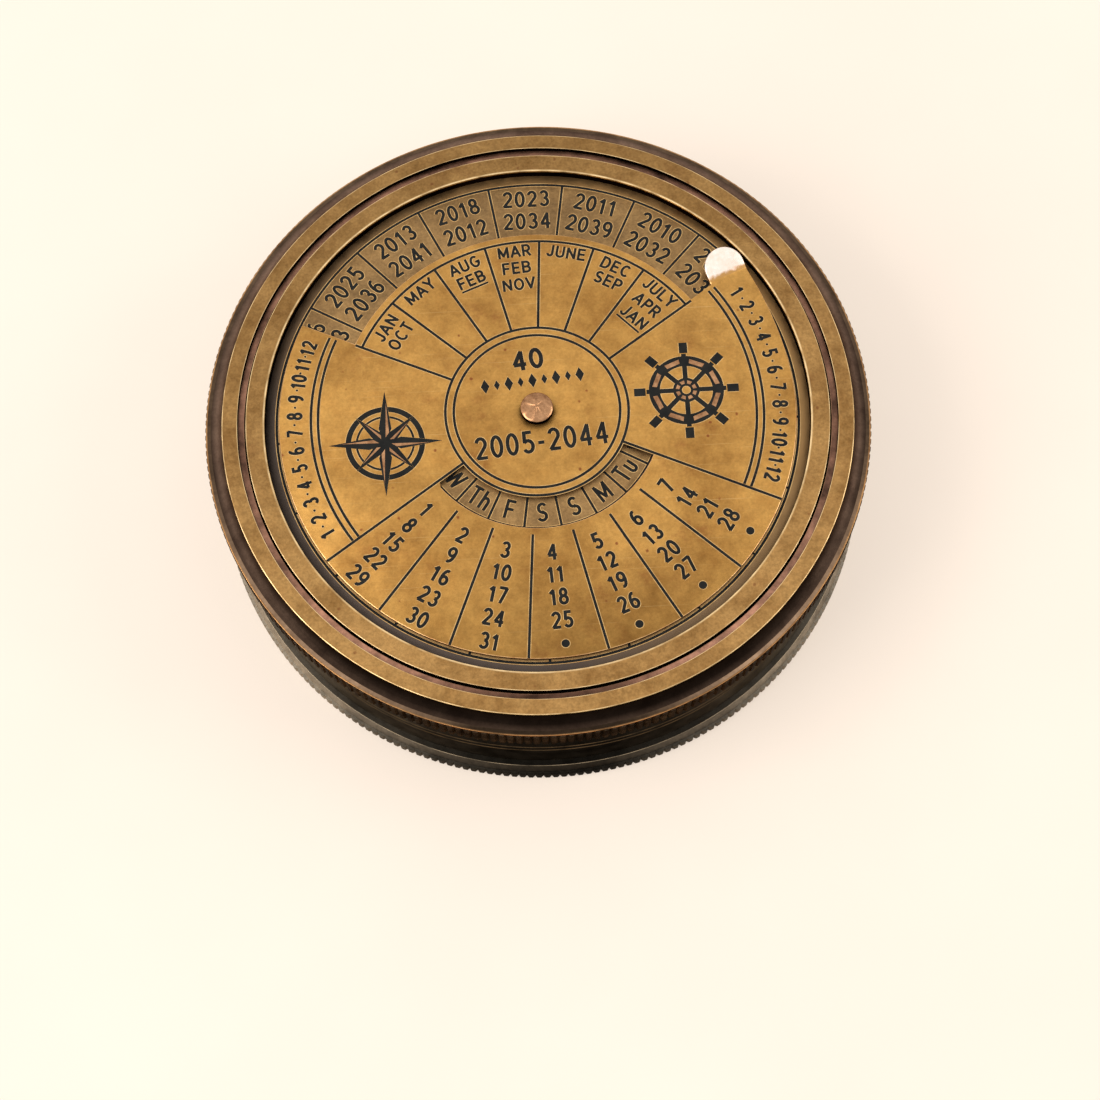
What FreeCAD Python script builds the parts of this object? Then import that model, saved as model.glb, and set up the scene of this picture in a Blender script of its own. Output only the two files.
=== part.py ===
import FreeCAD, Part
import math
import os

import Sketcher

# A brass desk compass under a screwed lid that carries a perpetual calendar.
# The case is a turned drum: a knurled base plate, a plain barrel and a neck
# ring that holds the glass over the compass needle.  The lid screws on the
# neck.  Its top holds a fixed plate of years, a bezel ring round it, and a
# thin disc of months and dates that a finger tab turns round the centre rivet.
# Frame: +Z up, the base plate stands on z = 0, the rings share the Z axis,
# +Y points to the far side of the calendar.  Lengths are in millimetres.

V = FreeCAD.Vector
DOC = FreeCAD.newDocument("CalendarCompass")
SHEET = DOC.addObject("Spreadsheet::Sheet", "Sizes")

# Alias, value, and what it measures.  Angles are in degrees.
SIZES = [
    # base plate, the knurled flange the compass stands on
    ("flange_radius", 38.1, "outer radius of the knurled flange, 3 in across"),
    ("flange_edge", 1.4, "height of the knurled edge"),
    ("flange_ledge", 0.35, "width of the flat ledge on top of the knurled edge"),
    ("shoulder_radius", 37.3, "radius where the sloping band meets the barrel"),
    ("base_thick", 2.6, "thickness of the base plate"),
    ("spigot_radius", 33.4, "register that centres the base in the barrel"),
    ("spigot_bore", 31.5, "bore of the register, round the dial card"),
    ("spigot_rise", 1.8, "height of the register"),
    ("spigot_bevel", 0.2, "bevel on the register's top edge"),
    # straight knurl on the flange and on the lid's grip band
    ("knurl_count", 252, "notches round a band"),
    ("knurl_depth", 0.25, "depth of one notch"),
    ("knurl_share", 0.65, "width of a notch as a share of the pitch"),
    # barrel and neck ring
    ("waist_radius", 36.7, "outer radius of the barrel and of the lid's skirt"),
    ("barrel_bore", 33.45, "bore of the barrel"),
    ("barrel_height", 4.9, "height of the barrel"),
    ("seam_bevel", 0.15, "bevel on each side of a seam"),
    ("neck_flange", 1.2, "height of the neck ring's flange, seen between two seams"),
    ("neck_radius", 34.6, "outer radius of the threaded neck"),
    ("neck_rise", 3.9, "height of the neck above its flange"),
    ("neck_bore", 31.0, "bore of the neck ring"),
    ("neck_reach", 1.8, "how far the neck ring reaches into the barrel"),
    ("seat_radius", 32.5, "radius of the glass seat"),
    ("seat_height", 0.1, "glass seat above the neck's flange"),
    ("thread_bevel", 0.3, "lead-in bevel of the neck and of the lid's skirt"),
    # dial, pivot and glass
    ("card_radius", 31.3, "radius of the dial card"),
    ("card_thick", 0.3, "thickness of the dial card"),
    ("degree_inner", 24.5, "inner radius of the degree ring"),
    ("degree_thick", 0.8, "thickness of the degree ring at its outer edge"),
    ("degree_lip", 0.3, "thickness of the degree ring at its inner edge"),
    ("boss_radius", 3.0, "foot of the pivot boss"),
    ("boss_foot", 0.7, "height of the boss's foot"),
    ("boss_neck", 1.6, "radius of the boss above its foot"),
    ("boss_height", 1.7, "height of the boss"),
    ("pin_radius", 0.6, "radius of the pivot pin"),
    ("pin_fit", 0.02, "clearance of the pin in the boss"),
    ("pin_straight", 2.5, "straight length of the pivot pin"),
    ("pin_length", 4.1, "length of the pivot pin to its point"),
    ("pin_point", 0.12, "radius just under the pin's point"),
    ("point_round", 0.05, "height of the rounding on the pin's point"),
    ("glass_radius", 32.4, "radius of the glass and of its gasket"),
    ("gasket_inner", 31.2, "inner radius of the gasket"),
    ("gasket_thick", 0.3, "thickness of the gasket"),
    ("glass_thick", 1.2, "thickness of the glass"),
    ("glass_bevel", 0.25, "bevel on the glass's edge"),
    ("retainer_radius", 32.45, "outer radius of the ring that holds the glass"),
    ("retainer_inner", 31.2, "inner radius of that ring"),
    ("retainer_height", 1.0, "height of that ring"),
    # needle and its cap
    ("needle_half", 25.0, "half of the needle's length"),
    ("needle_waist", 2.0, "half of the needle's width beside its hub"),
    ("needle_tip", 0.2, "half of the width at a tip"),
    ("needle_thick", 0.35, "thickness of the needle"),
    ("needle_hole", 1.5, "radius of the needle's hole"),
    ("hub_radius", 3.2, "radius of the needle's round hub"),
    ("cap_flange", 2.3, "radius of the cap's flange, under the needle"),
    ("cap_flange_height", 0.4, "height of that flange"),
    ("cap_radius", 1.48, "radius of the cap above the needle"),
    ("cap_height", 2.1, "height of the cap"),
    ("cap_crown", 0.45, "height of the cap's crown"),
    ("cap_crown_radius", 0.7, "radius of the flat on top of the crown"),
    ("cap_mouth", 1.1, "radius of the cone's mouth under the cap"),
    ("jewel_radius", 0.6, "radius of the jewel"),
    ("jewel_seat", 0.62, "radius of its seat in the cap"),
    ("jewel_rise", 1.0, "jewel above the cap's underside"),
    ("jewel_height", 0.58, "height of the jewel"),
    ("jewel_cup", 0.5, "radius of the jewel's cup at its mouth"),
    ("jewel_cup_depth", 0.31, "depth of the jewel's cup"),
    ("cap_lift", 2.85, "cap's underside above the dial card"),
    # lid
    ("lid_bore", 34.68, "bore of the lid's skirt, on the neck's thread"),
    ("skirt_height", 4.9, "plain part of the lid's skirt"),
    ("grip_radius", 37.5, "radius of the lid's grip band and lip"),
    ("lip_height", 8.1, "top of the lip above the skirt's edge"),
    ("cove_foot", 36.85, "radius where the cove leaves the flat lip"),
    ("cove_radius", 1.476, "radius of the hollow round the top ring"),
    ("rim_radius", 35.4, "outer radius of the bright outer ring"),
    ("rim_inner", 33.67, "outer radius of the groove"),
    ("lid_height", 9.3, "height of the lid from the skirt's edge to the rim"),
    ("groove_depth", 0.6, "depth of the groove between the rings"),
    ("bezel_seat", 32.78, "radius of the bezel's seat"),
    ("seat_bevel", 0.2, "bevel where the groove meets that seat"),
    ("web_thick", 1.2, "thickness of the lid's web under the year plate"),
    ("web_depth", 1.65, "year plate's seat below the rim"),
    # bezel, year plate and disc
    ("bezel_radius", 32.75, "outer radius of the bezel ring"),
    ("bezel_inner", 30.62, "inner radius of the bezel ring"),
    ("bezel_height", 1.52, "height of the bezel ring"),
    ("bezel_bevel", 0.12, "bevel on the bezel's top edges"),
    ("rebate_radius", 31.45, "rebate of the bezel over the year plate"),
    ("rebate_height", 0.42, "height of the rebate"),
    ("plate_radius", 31.4, "radius of the year plate"),
    ("plate_thick", 0.4, "thickness of the year plate"),
    ("washer_radius", 3.2, "radius of the washer under the disc"),
    ("washer_thick", 0.15, "thickness of that washer"),
    ("rivet_fit", 1.02, "bore of plate, web and burr on the rivet"),
    ("disc_radius", 29.1, "radius of the calendar disc"),
    ("disc_thick", 0.5, "thickness of the calendar disc"),
    ("disc_bore", 1.05, "bore of the disc on the rivet"),
    ("disc_turn", 5.1, "how far the disc stands turned in the photograph"),
    ("sector_half", 60.0, "half angle of the months' sector"),
    ("sector_radius", 22.45, "edge of the months' sector"),
    ("flare_end", 86.0, "angle where the disc's edge starts to flare"),
    ("flare_radius", 44.2, "radius of the flaring edge"),
    ("window_inner", 10.45, "inner radius of the weekday window"),
    ("window_outer", 14.1, "outer radius of the weekday window"),
    ("window_half", 59.7, "half angle of the weekday window"),
    ("window_clip_end", 0.35, "what the clipped corner takes off the window's end"),
    ("window_clip_arc", 3.0, "angle that the clipped corner takes off the outer edge"),
    # finger tab, bent up from the disc's edge
    ("bend_inner", 25.4, "inner end of the bend, measured from the centre"),
    ("bend_outer", 29.97, "outer end of the bend"),
    ("bend_angle", 62.08, "angle of the bend's outer end"),
    ("bend_up", 22.0, "how far the tab is bent up"),
    ("bend_round", 0.8, "inner radius of the bend"),
    ("tab_straight", 0.95, "straight part of the tab's sides"),
    # rivet
    ("rivet_radius", 1.0, "radius of the rivet's shank"),
    ("head_radius", 1.75, "radius of the rivet's domed head"),
    ("head_height", 1.3, "height of the head"),
    ("head_edge", 0.2, "straight edge of the head"),
    ("head_gap", 0.02, "play between the disc and the head"),
    ("tail_radius", 1.5, "radius of the rivet's closed tail"),
    ("tail_height", 0.5, "height of the tail"),
    ("burr_radius", 2.3, "radius of the burr that the tail closes on"),
    ("burr_thick", 0.4, "thickness of the burr"),
]


class Size:
    """A value with its formula on the sheet, so that sums keep both."""

    def __init__(self, value, formula):
        self.value = float(value)
        self.formula = formula

    def __add__(self, other):
        return Size(self.value + other.value, f"({self.formula} + {other.formula})")

    def __sub__(self, other):
        return Size(self.value - other.value, f"({self.formula} - {other.formula})")

    def __mul__(self, other):
        return Size(self.value * other.value, f"({self.formula} * {other.formula})")

    def __neg__(self):
        return Size(-self.value, f"(0 - {self.formula})")


ZERO = Size(0, "0")
HALF = Size(0.5, "0.5")
EIGHTH_TURN = Size(45, "45")
QUARTER_TURN = Size(90, "90")
HALF_TURN = Size(180, "180")


class SizeTable:
    """The sheet's sizes, read by name."""

    def __init__(self, rows):
        self.values = {name: value for name, value, _ in rows}

    def __getattr__(self, name):
        return Size(self.values[name], f"Sizes.{name}")


def sine(angle):
    """Sine of a size in degrees."""
    return Size(math.sin(math.radians(angle.value)), f"sin({angle.formula})")


def cosine(angle):
    """Cosine of a size in degrees."""
    return Size(math.cos(math.radians(angle.value)), f"cos({angle.formula})")


def at_azimuth(radius, angle):
    """Corner at a radius and an angle, clockwise from the far side."""
    return radius * sine(angle), radius * cosine(angle)


def fill_sheet():
    """Write every size, its alias and its meaning on the sheet."""
    for row, (name, value, meaning) in enumerate(SIZES, start=1):
        SHEET.set(f"A{row}", meaning)
        SHEET.set(f"B{row}", str(value))
        SHEET.setAlias(f"B{row}", name)
    DOC.recompute()


def new_body(label):
    """Empty body for one piece."""
    body = DOC.addObject("PartDesign::Body", label)
    body.Label = label
    return body


def origin_plane(body, role):
    """Plane of the body's own origin."""
    return next(item for item in body.Origin.OriginFeatures if item.Role == role)


def new_sketch(body, name, role):
    """Sketch on one of the body's origin planes."""
    sketch = body.newObject("Sketcher::SketchObject", name)
    sketch.AttachmentSupport = [(origin_plane(body, role), "")]
    sketch.MapMode = "FlatFace"
    return sketch


def lift(piece, height):
    """Place a piece at its height in the compass."""
    piece.setExpression("Placement.Base.z", height.formula)
    return piece


def bind(sketch, number, size):
    """Tie one constraint to the sheet."""
    sketch.setExpression(f"Constraints[{number}]", size.formula)


def hold_point(sketch, shape, end, corner):
    """Hold a point of the sketch at a corner, on an axis where it lies on one."""
    for kind, axis, size in (("DistanceX", -2, corner[0]), ("DistanceY", -1, corner[1])):
        if abs(size.value) < 1e-9:
            sketch.addConstraint(Sketcher.Constraint("PointOnObject", shape, end, axis))
        else:
            rule = Sketcher.Constraint(kind, -1, 1, shape, end, size.value)
            bind(sketch, sketch.addConstraint(rule), size)


def bulge_point(start, end, radius, side):
    """Middle of a short arc whose centre lies on the given side of its chord."""
    chord = end - start
    half = chord.Length / 2
    sagitta = radius - math.sqrt(radius ** 2 - half ** 2)
    across = V(-chord.y, chord.x, 0) / chord.Length
    return (start + end) / 2 - across * (side * sagitta)


def draw_outline(sketch, corners, arcs=None):
    """Closed outline through corners; arcs give a radius and the centre's side."""
    arcs = arcs or {}
    points = [V(x.value, y.value, 0) for x, y in corners]
    ends = []
    for number, start in enumerate(points):
        stop = points[(number + 1) % len(points)]
        if number in arcs:
            radius, side = arcs[number]
            middle = bulge_point(start, stop, radius.value, side)
            shape = sketch.addGeometry(Part.Arc(start, middle, stop), False)
            swapped = sketch.getPoint(shape, 1).distanceToPoint(start) > 1e-6
            ends.append((shape, 2, 1) if swapped else (shape, 1, 2))
        else:
            shape = sketch.addGeometry(Part.LineSegment(start, stop), False)
            ends.append((shape, 1, 2))
    for number, (shape, _, last) in enumerate(ends):
        following = ends[(number + 1) % len(ends)]
        rule = Sketcher.Constraint("Coincident", shape, last, following[0], following[1])
        sketch.addConstraint(rule)
    for (shape, first, _), corner in zip(ends, corners):
        hold_point(sketch, shape, first, corner)
    for number, (radius, _) in arcs.items():
        rule = Sketcher.Constraint("Radius", ends[number][0], radius.value)
        bind(sketch, sketch.addConstraint(rule), radius)


def draw_circle(sketch, radius):
    """Circle round the origin."""
    shape = sketch.addGeometry(Part.Circle(V(0, 0, 0), V(0, 0, 1), radius.value), False)
    sketch.addConstraint(Sketcher.Constraint("Coincident", shape, 3, -1, 1))
    rule = Sketcher.Constraint("Radius", shape, radius.value)
    bind(sketch, sketch.addConstraint(rule), radius)


def turned(label, corners, arcs=None):
    """Piece turned on the lathe from its half section."""
    body = new_body(label)
    section = new_sketch(body, f"{label}_section", "XZ_Plane")
    draw_outline(section, corners, arcs)
    turning = body.newObject("PartDesign::Revolution", f"{label}_turning")
    turning.Profile = section
    turning.ReferenceAxis = (section, ["V_Axis"])
    turning.Angle = 360
    return body


def washer(label, inner, outer, thick):
    """Flat ring."""
    return turned(label, [(inner, ZERO), (outer, ZERO), (outer, thick), (inner, thick)])


def padded(body, sketch, thick):
    """Sheet cut from its outline."""
    pad = body.newObject("PartDesign::Pad", f"{sketch.Name}_sheet")
    pad.Profile = sketch
    pad.setExpression("Length", thick.formula)
    return pad


def cut_knurl(body, name, radius, foot, top):
    """Straight knurl between two heights of a turned band."""
    notch = new_sketch(body, f"{name}_notch", "XY_Plane")
    notch.setExpression("AttachmentOffset.Base.z", foot.formula)
    depth = D.knurl_depth
    pitch = 2 * math.pi * radius.value / D.knurl_count.value
    half = Size(pitch * D.knurl_share.value,
                f"(2 * pi * {radius.formula} / Sizes.knurl_count * Sizes.knurl_share)")
    draw_outline(notch, [
        (radius - depth, ZERO),
        (radius + depth, half),
        (radius + depth, -half),
    ])
    cut = body.newObject("PartDesign::Pocket", f"{name}_cut")
    cut.Profile = notch
    cut.Reversed = True
    cut.setExpression("Length", (top - foot).formula)
    ring = body.newObject("PartDesign::PolarPattern", f"{name}_ring")
    ring.Originals = [cut]
    ring.Axis = (notch, ["N_Axis"])
    ring.Angle = 360
    ring.setExpression("Occurrences", D.knurl_count.formula)
    body.Tip = ring


def make_base_plate():
    """Knurled flange with a sloping band and a register for the barrel."""
    top = D.base_thick + D.spigot_rise
    body = turned("base_plate", [
        (ZERO, ZERO),
        (D.flange_radius, ZERO),
        (D.flange_radius, D.flange_edge),
        (D.flange_radius - D.flange_ledge, D.flange_edge),
        (D.shoulder_radius, D.base_thick),
        (D.spigot_radius, D.base_thick),
        (D.spigot_radius, top - D.spigot_bevel),
        (D.spigot_radius - D.spigot_bevel, top),
        (D.spigot_bore, top),
        (D.spigot_bore, D.base_thick),
        (ZERO, D.base_thick),
    ])
    cut_knurl(body, "flange_knurl", D.flange_radius, ZERO, D.flange_edge)
    return body


def make_barrel():
    """Plain drum between the base plate and the neck ring."""
    bevel = D.seam_bevel
    body = turned("case_barrel", [
        (D.barrel_bore, ZERO),
        (D.waist_radius - bevel, ZERO),
        (D.waist_radius, bevel),
        (D.waist_radius, D.barrel_height - bevel),
        (D.waist_radius - bevel, D.barrel_height),
        (D.barrel_bore, D.barrel_height),
    ])
    return lift(body, D.base_thick)


def make_neck_ring():
    """Flange between the seams, threaded neck above it and the glass seat inside."""
    bevel = D.seam_bevel
    lead = D.thread_bevel
    flange = D.neck_reach
    deck = flange + D.neck_flange
    top = deck + D.neck_rise
    body = turned("neck_ring", [
        (D.neck_bore, ZERO),
        (D.spigot_radius, ZERO),
        (D.spigot_radius, flange),
        (D.waist_radius - bevel, flange),
        (D.waist_radius, flange + bevel),
        (D.waist_radius, deck - bevel),
        (D.waist_radius - bevel, deck),
        (D.neck_radius, deck),
        (D.neck_radius, top - lead),
        (D.neck_radius - lead, top),
        (D.seat_radius, top),
        (D.seat_radius, deck + D.seat_height),
        (D.neck_bore, deck + D.seat_height),
    ])
    return lift(body, D.base_thick + D.barrel_height - D.neck_reach)


def make_dial():
    """Card on the floor of the case and the sloping degree ring on it."""
    card = turned("dial_card", [
        (ZERO, ZERO),
        (D.card_radius, ZERO),
        (D.card_radius, D.card_thick),
        (ZERO, D.card_thick),
    ])
    ring = turned("degree_ring", [
        (D.degree_inner, ZERO),
        (D.card_radius, ZERO),
        (D.card_radius, D.degree_thick),
        (D.neck_bore, D.degree_thick),
        (D.degree_inner, D.degree_lip),
    ])
    return [lift(card, D.base_thick), lift(ring, D.base_thick + D.card_thick)]


def make_pivot():
    """Stepped boss on the card with the pointed pin that carries the needle."""
    bore = D.pin_radius + D.pin_fit
    boss = turned("pivot_boss", [
        (bore, ZERO),
        (D.boss_radius, ZERO),
        (D.boss_radius, D.boss_foot),
        (D.boss_neck, D.boss_foot),
        (D.boss_neck, D.boss_height),
        (bore, D.boss_height),
    ])
    pin = turned("pivot_pin", [
        (ZERO, ZERO),
        (D.pin_radius, ZERO),
        (D.pin_radius, D.pin_straight),
        (D.pin_point, D.pin_length - D.point_round),
        (ZERO, D.pin_length),
    ])
    floor = D.base_thick + D.card_thick
    return [lift(boss, floor), lift(pin, floor)]


def make_glass():
    """Gasket, bevelled glass and the ring that holds them in the neck."""
    seat = D.base_thick + D.barrel_height + D.neck_flange + D.seat_height
    gasket = washer("glass_gasket", D.gasket_inner, D.glass_radius, D.gasket_thick)
    glass = turned("crystal_glass", [
        (ZERO, ZERO),
        (D.glass_radius, ZERO),
        (D.glass_radius, D.glass_thick - D.glass_bevel),
        (D.glass_radius - D.glass_bevel, D.glass_thick),
        (ZERO, D.glass_thick),
    ])
    ring = turned("glass_ring", [
        (D.retainer_inner, ZERO),
        (D.retainer_radius, ZERO),
        (D.retainer_radius, D.retainer_height),
        (D.retainer_inner + D.glass_bevel, D.retainer_height),
        (D.retainer_inner, D.retainer_height - D.glass_bevel),
    ])
    glass_foot = seat + D.gasket_thick
    return [
        lift(gasket, seat),
        lift(glass, glass_foot),
        lift(ring, glass_foot + D.glass_thick),
    ]


def make_needle():
    """Long lozenge with a round hub, bored for its cap."""
    body = new_body("compass_needle")
    lozenge = new_sketch(body, "needle_outline", "XY_Plane")
    draw_outline(lozenge, [
        (D.needle_waist, ZERO),
        (D.needle_tip, D.needle_half),
        (-D.needle_tip, D.needle_half),
        (-D.needle_waist, ZERO),
        (-D.needle_tip, -D.needle_half),
        (D.needle_tip, -D.needle_half),
    ])
    padded(body, lozenge, D.needle_thick)
    hub = new_sketch(body, "needle_hub", "XY_Plane")
    draw_circle(hub, D.hub_radius)
    padded(body, hub, D.needle_thick)
    hole = new_sketch(body, "needle_hole", "XY_Plane")
    draw_circle(hole, D.needle_hole)
    bore = body.newObject("PartDesign::Pocket", "needle_bore")
    bore.Profile = hole
    bore.Type = "ThroughAll"
    bore.Reversed = True
    body.Tip = bore
    return lift(body, D.base_thick + D.card_thick + D.cap_lift + D.cap_flange_height)


def make_needle_cap():
    """Turned cap with its cone below and the jewel that rides the pin's point."""
    jewel_top = D.jewel_rise + D.jewel_height
    cap = turned("needle_cap", [
        (D.cap_mouth, ZERO),
        (D.cap_flange, ZERO),
        (D.cap_flange, D.cap_flange_height),
        (D.cap_radius, D.cap_flange_height),
        (D.cap_radius, D.cap_height - D.cap_crown),
        (D.cap_crown_radius, D.cap_height),
        (ZERO, D.cap_height),
        (ZERO, jewel_top),
        (D.jewel_seat, jewel_top),
        (D.jewel_seat, D.jewel_rise),
    ])
    jewel = turned("cap_jewel", [
        (D.jewel_cup, ZERO),
        (D.jewel_radius, ZERO),
        (D.jewel_radius, D.jewel_height),
        (ZERO, D.jewel_height),
        (ZERO, D.jewel_cup_depth),
    ])
    foot = D.base_thick + D.card_thick + D.cap_lift
    return [lift(cap, foot), lift(jewel, foot + D.jewel_rise)]


def make_lid_shell():
    """Skirt, grip band, lip, hollow cove, outer ring, groove and web."""
    bevel = D.seam_bevel
    lead = D.thread_bevel
    seat = D.lid_height - D.web_depth
    ceiling = seat - D.web_thick
    floor = D.lid_height - D.groove_depth
    body = turned("lid_shell", [
        (D.lid_bore + lead, ZERO),
        (D.waist_radius - bevel, ZERO),
        (D.waist_radius, bevel),
        (D.waist_radius, D.skirt_height),
        (D.grip_radius, D.skirt_height),
        (D.grip_radius, D.lip_height),
        (D.cove_foot, D.lip_height),
        (D.rim_radius, D.lid_height),
        (D.rim_inner, D.lid_height),
        (D.rim_inner, floor),
        (D.bezel_seat + D.seat_bevel, floor),
        (D.bezel_seat, floor - D.seat_bevel),
        (D.bezel_seat, seat),
        (D.rivet_fit, seat),
        (D.rivet_fit, ceiling),
        (D.lid_bore, ceiling),
        (D.lid_bore, lead),
    ], {6: (D.cove_radius, -1)})
    cut_knurl(body, "grip_knurl", D.grip_radius, D.skirt_height, D.lip_height)
    return lift(body, lid_foot())


def lid_foot():
    """Height of the lid's lower edge, on the neck ring's flange."""
    return D.base_thick + D.barrel_height + D.neck_flange


def plate_seat():
    """Height of the seat that the year plate and the bezel rest on."""
    return lid_foot() + D.lid_height - D.web_depth


def make_bezel():
    """Inner bright ring, rebated over the edge of the year plate."""
    bevel = D.bezel_bevel
    body = turned("bezel_ring", [
        (D.rebate_radius, ZERO),
        (D.bezel_radius, ZERO),
        (D.bezel_radius, D.bezel_height - bevel),
        (D.bezel_radius - bevel, D.bezel_height),
        (D.bezel_inner + bevel, D.bezel_height),
        (D.bezel_inner, D.bezel_height - bevel),
        (D.bezel_inner, D.rebate_height),
        (D.rebate_radius, D.rebate_height),
    ])
    return lift(body, plate_seat())


def make_calendar_disc():
    """Disc with its cut-back sector, its weekday window and its bent finger tab."""
    body = new_body("calendar_disc")
    padded(body, draw_disc_edge(body), D.disc_thick)
    bend = new_bend_plane(body)
    roll_bend(body, bend)
    padded(body, draw_tab(body, bend), D.disc_thick)
    last = cut_window(body)
    body.Tip = last
    body.Placement = FreeCAD.Placement(V(0, 0, 0), FreeCAD.Rotation(V(0, 0, 1), 1))
    body.setExpression("Placement.Rotation.Angle", D.disc_turn.formula)
    return lift(body, plate_seat() + D.plate_thick + D.washer_thick)


def draw_disc_edge(body):
    """Edge of the disc, clockwise from the end of the months' sector."""
    edge = new_sketch(body, "disc_edge", "XY_Plane")
    draw_outline(edge, [
        at_azimuth(D.sector_radius, -D.sector_half),
        at_azimuth(D.sector_radius, ZERO),
        at_azimuth(D.sector_radius, D.sector_half),
        at_azimuth(D.bend_inner, D.sector_half),
        at_azimuth(D.bend_outer, D.bend_angle),
        at_azimuth(D.disc_radius, D.flare_end),
        at_azimuth(D.disc_radius, HALF_TURN - EIGHTH_TURN),
        at_azimuth(D.disc_radius, HALF_TURN),
        at_azimuth(D.disc_radius, -(HALF_TURN - EIGHTH_TURN)),
        at_azimuth(D.disc_radius, -D.flare_end),
        at_azimuth(D.disc_radius, -D.sector_half),
    ], {
        0: (D.sector_radius, -1),
        1: (D.sector_radius, -1),
        4: (D.flare_radius, -1),
        5: (D.disc_radius, -1),
        6: (D.disc_radius, -1),
        7: (D.disc_radius, -1),
        8: (D.disc_radius, -1),
        9: (D.disc_radius, -1),
    })
    draw_circle(edge, D.disc_bore)
    return edge


def bend_ends():
    """Both ends of the bend in the disc's plane."""
    inner = at_azimuth(D.bend_inner, D.sector_half)
    outer = at_azimuth(D.bend_outer, D.bend_angle)
    return inner, outer


def bend_length():
    """Length of the bend, which is the tab's width."""
    inner, outer = bend_ends()
    run = outer[0] - inner[0]
    rise = outer[1] - inner[1]
    value = math.hypot(run.value, rise.value)
    return Size(value, f"sqrt({run.formula} ^ 2 + {rise.formula} ^ 2)")


def new_bend_plane(body):
    """Datum with X along the bend and Y towards the tab's tip."""
    inner, outer = bend_ends()
    run = outer[0] - inner[0]
    rise = outer[1] - inner[1]
    plane = body.newObject("PartDesign::Plane", "bend_plane")
    plane.AttachmentSupport = [(origin_plane(body, "XY_Plane"), "")]
    plane.MapMode = "FlatFace"
    plane.AttachmentOffset = FreeCAD.Placement(V(0, 0, 0), FreeCAD.Rotation(V(0, 0, 1), 1))
    plane.setExpression("AttachmentOffset.Base.x", inner[0].formula)
    plane.setExpression("AttachmentOffset.Base.y", inner[1].formula)
    plane.setExpression("AttachmentOffset.Rotation.Angle",
                        f"atan2({rise.formula}; {run.formula})")
    return plane


def sketch_on(body, plane, name, turn):
    """Sketch on the bend datum, tipped about the bend."""
    sketch = body.newObject("Sketcher::SketchObject", name)
    sketch.AttachmentSupport = [(plane, "")]
    sketch.MapMode = "FlatFace"
    sketch.AttachmentOffset = FreeCAD.Placement(V(0, 0, 0), FreeCAD.Rotation(V(1, 0, 0), 1))
    sketch.setExpression("AttachmentOffset.Rotation.Angle", turn.formula)
    return sketch


def roll_bend(body, plane):
    """Roll the sheet's section up about the bend's axis."""
    section = sketch_on(body, plane, "bend_section", QUARTER_TURN)
    width = bend_length()
    draw_outline(section, [
        (ZERO, ZERO),
        (width, ZERO),
        (width, D.disc_thick),
        (ZERO, D.disc_thick),
    ])
    axis_height = D.disc_thick + D.bend_round
    start = V(0, axis_height.value, 0)
    stop = V(width.value, axis_height.value, 0)
    axis = section.addGeometry(Part.LineSegment(start, stop), True)
    hold_point(section, axis, 1, (ZERO, axis_height))
    hold_point(section, axis, 2, (width, axis_height))
    rolled = body.newObject("PartDesign::Revolution", "rolled_bend")
    rolled.Profile = section
    rolled.ReferenceAxis = (section, ["Axis0"])
    rolled.setExpression("Angle", D.bend_up.formula)
    return rolled


def draw_tab(body, plane):
    """Round-ended tab on the tipped plane past the bend."""
    tab = sketch_on(body, plane, "tab_outline", D.bend_up)
    reach = D.disc_thick + D.bend_round
    rise = reach - reach * cosine(D.bend_up)
    tab.setExpression("AttachmentOffset.Base.y", (reach * sine(D.bend_up)).formula)
    tab.setExpression("AttachmentOffset.Base.z", rise.formula)
    width = bend_length()
    radius = width * HALF
    draw_outline(tab, [
        (ZERO, ZERO),
        (width, ZERO),
        (width, D.tab_straight),
        (radius, D.tab_straight + radius),
        (ZERO, D.tab_straight),
    ], {2: (radius, 1), 3: (radius, 1)})
    return tab


def cut_window(body):
    """Curved window over the weekdays, one of its outer corners clipped."""
    opening = new_sketch(body, "weekday_window", "XY_Plane")
    first = HALF_TURN - D.window_half
    last = HALF_TURN + D.window_half
    draw_outline(opening, [
        at_azimuth(D.window_inner, first),
        at_azimuth(D.window_inner, HALF_TURN),
        at_azimuth(D.window_inner, last),
        at_azimuth(D.window_outer - D.window_clip_end, last),
        at_azimuth(D.window_outer, last - D.window_clip_arc),
        at_azimuth(D.window_outer, HALF_TURN),
        at_azimuth(D.window_outer, first),
    ], {
        0: (D.window_inner, -1),
        1: (D.window_inner, -1),
        4: (D.window_outer, 1),
        5: (D.window_outer, 1),
    })
    window = body.newObject("PartDesign::Pocket", "window_cut")
    window.Profile = opening
    window.Type = "ThroughAll"
    window.Reversed = True
    return window


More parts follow.
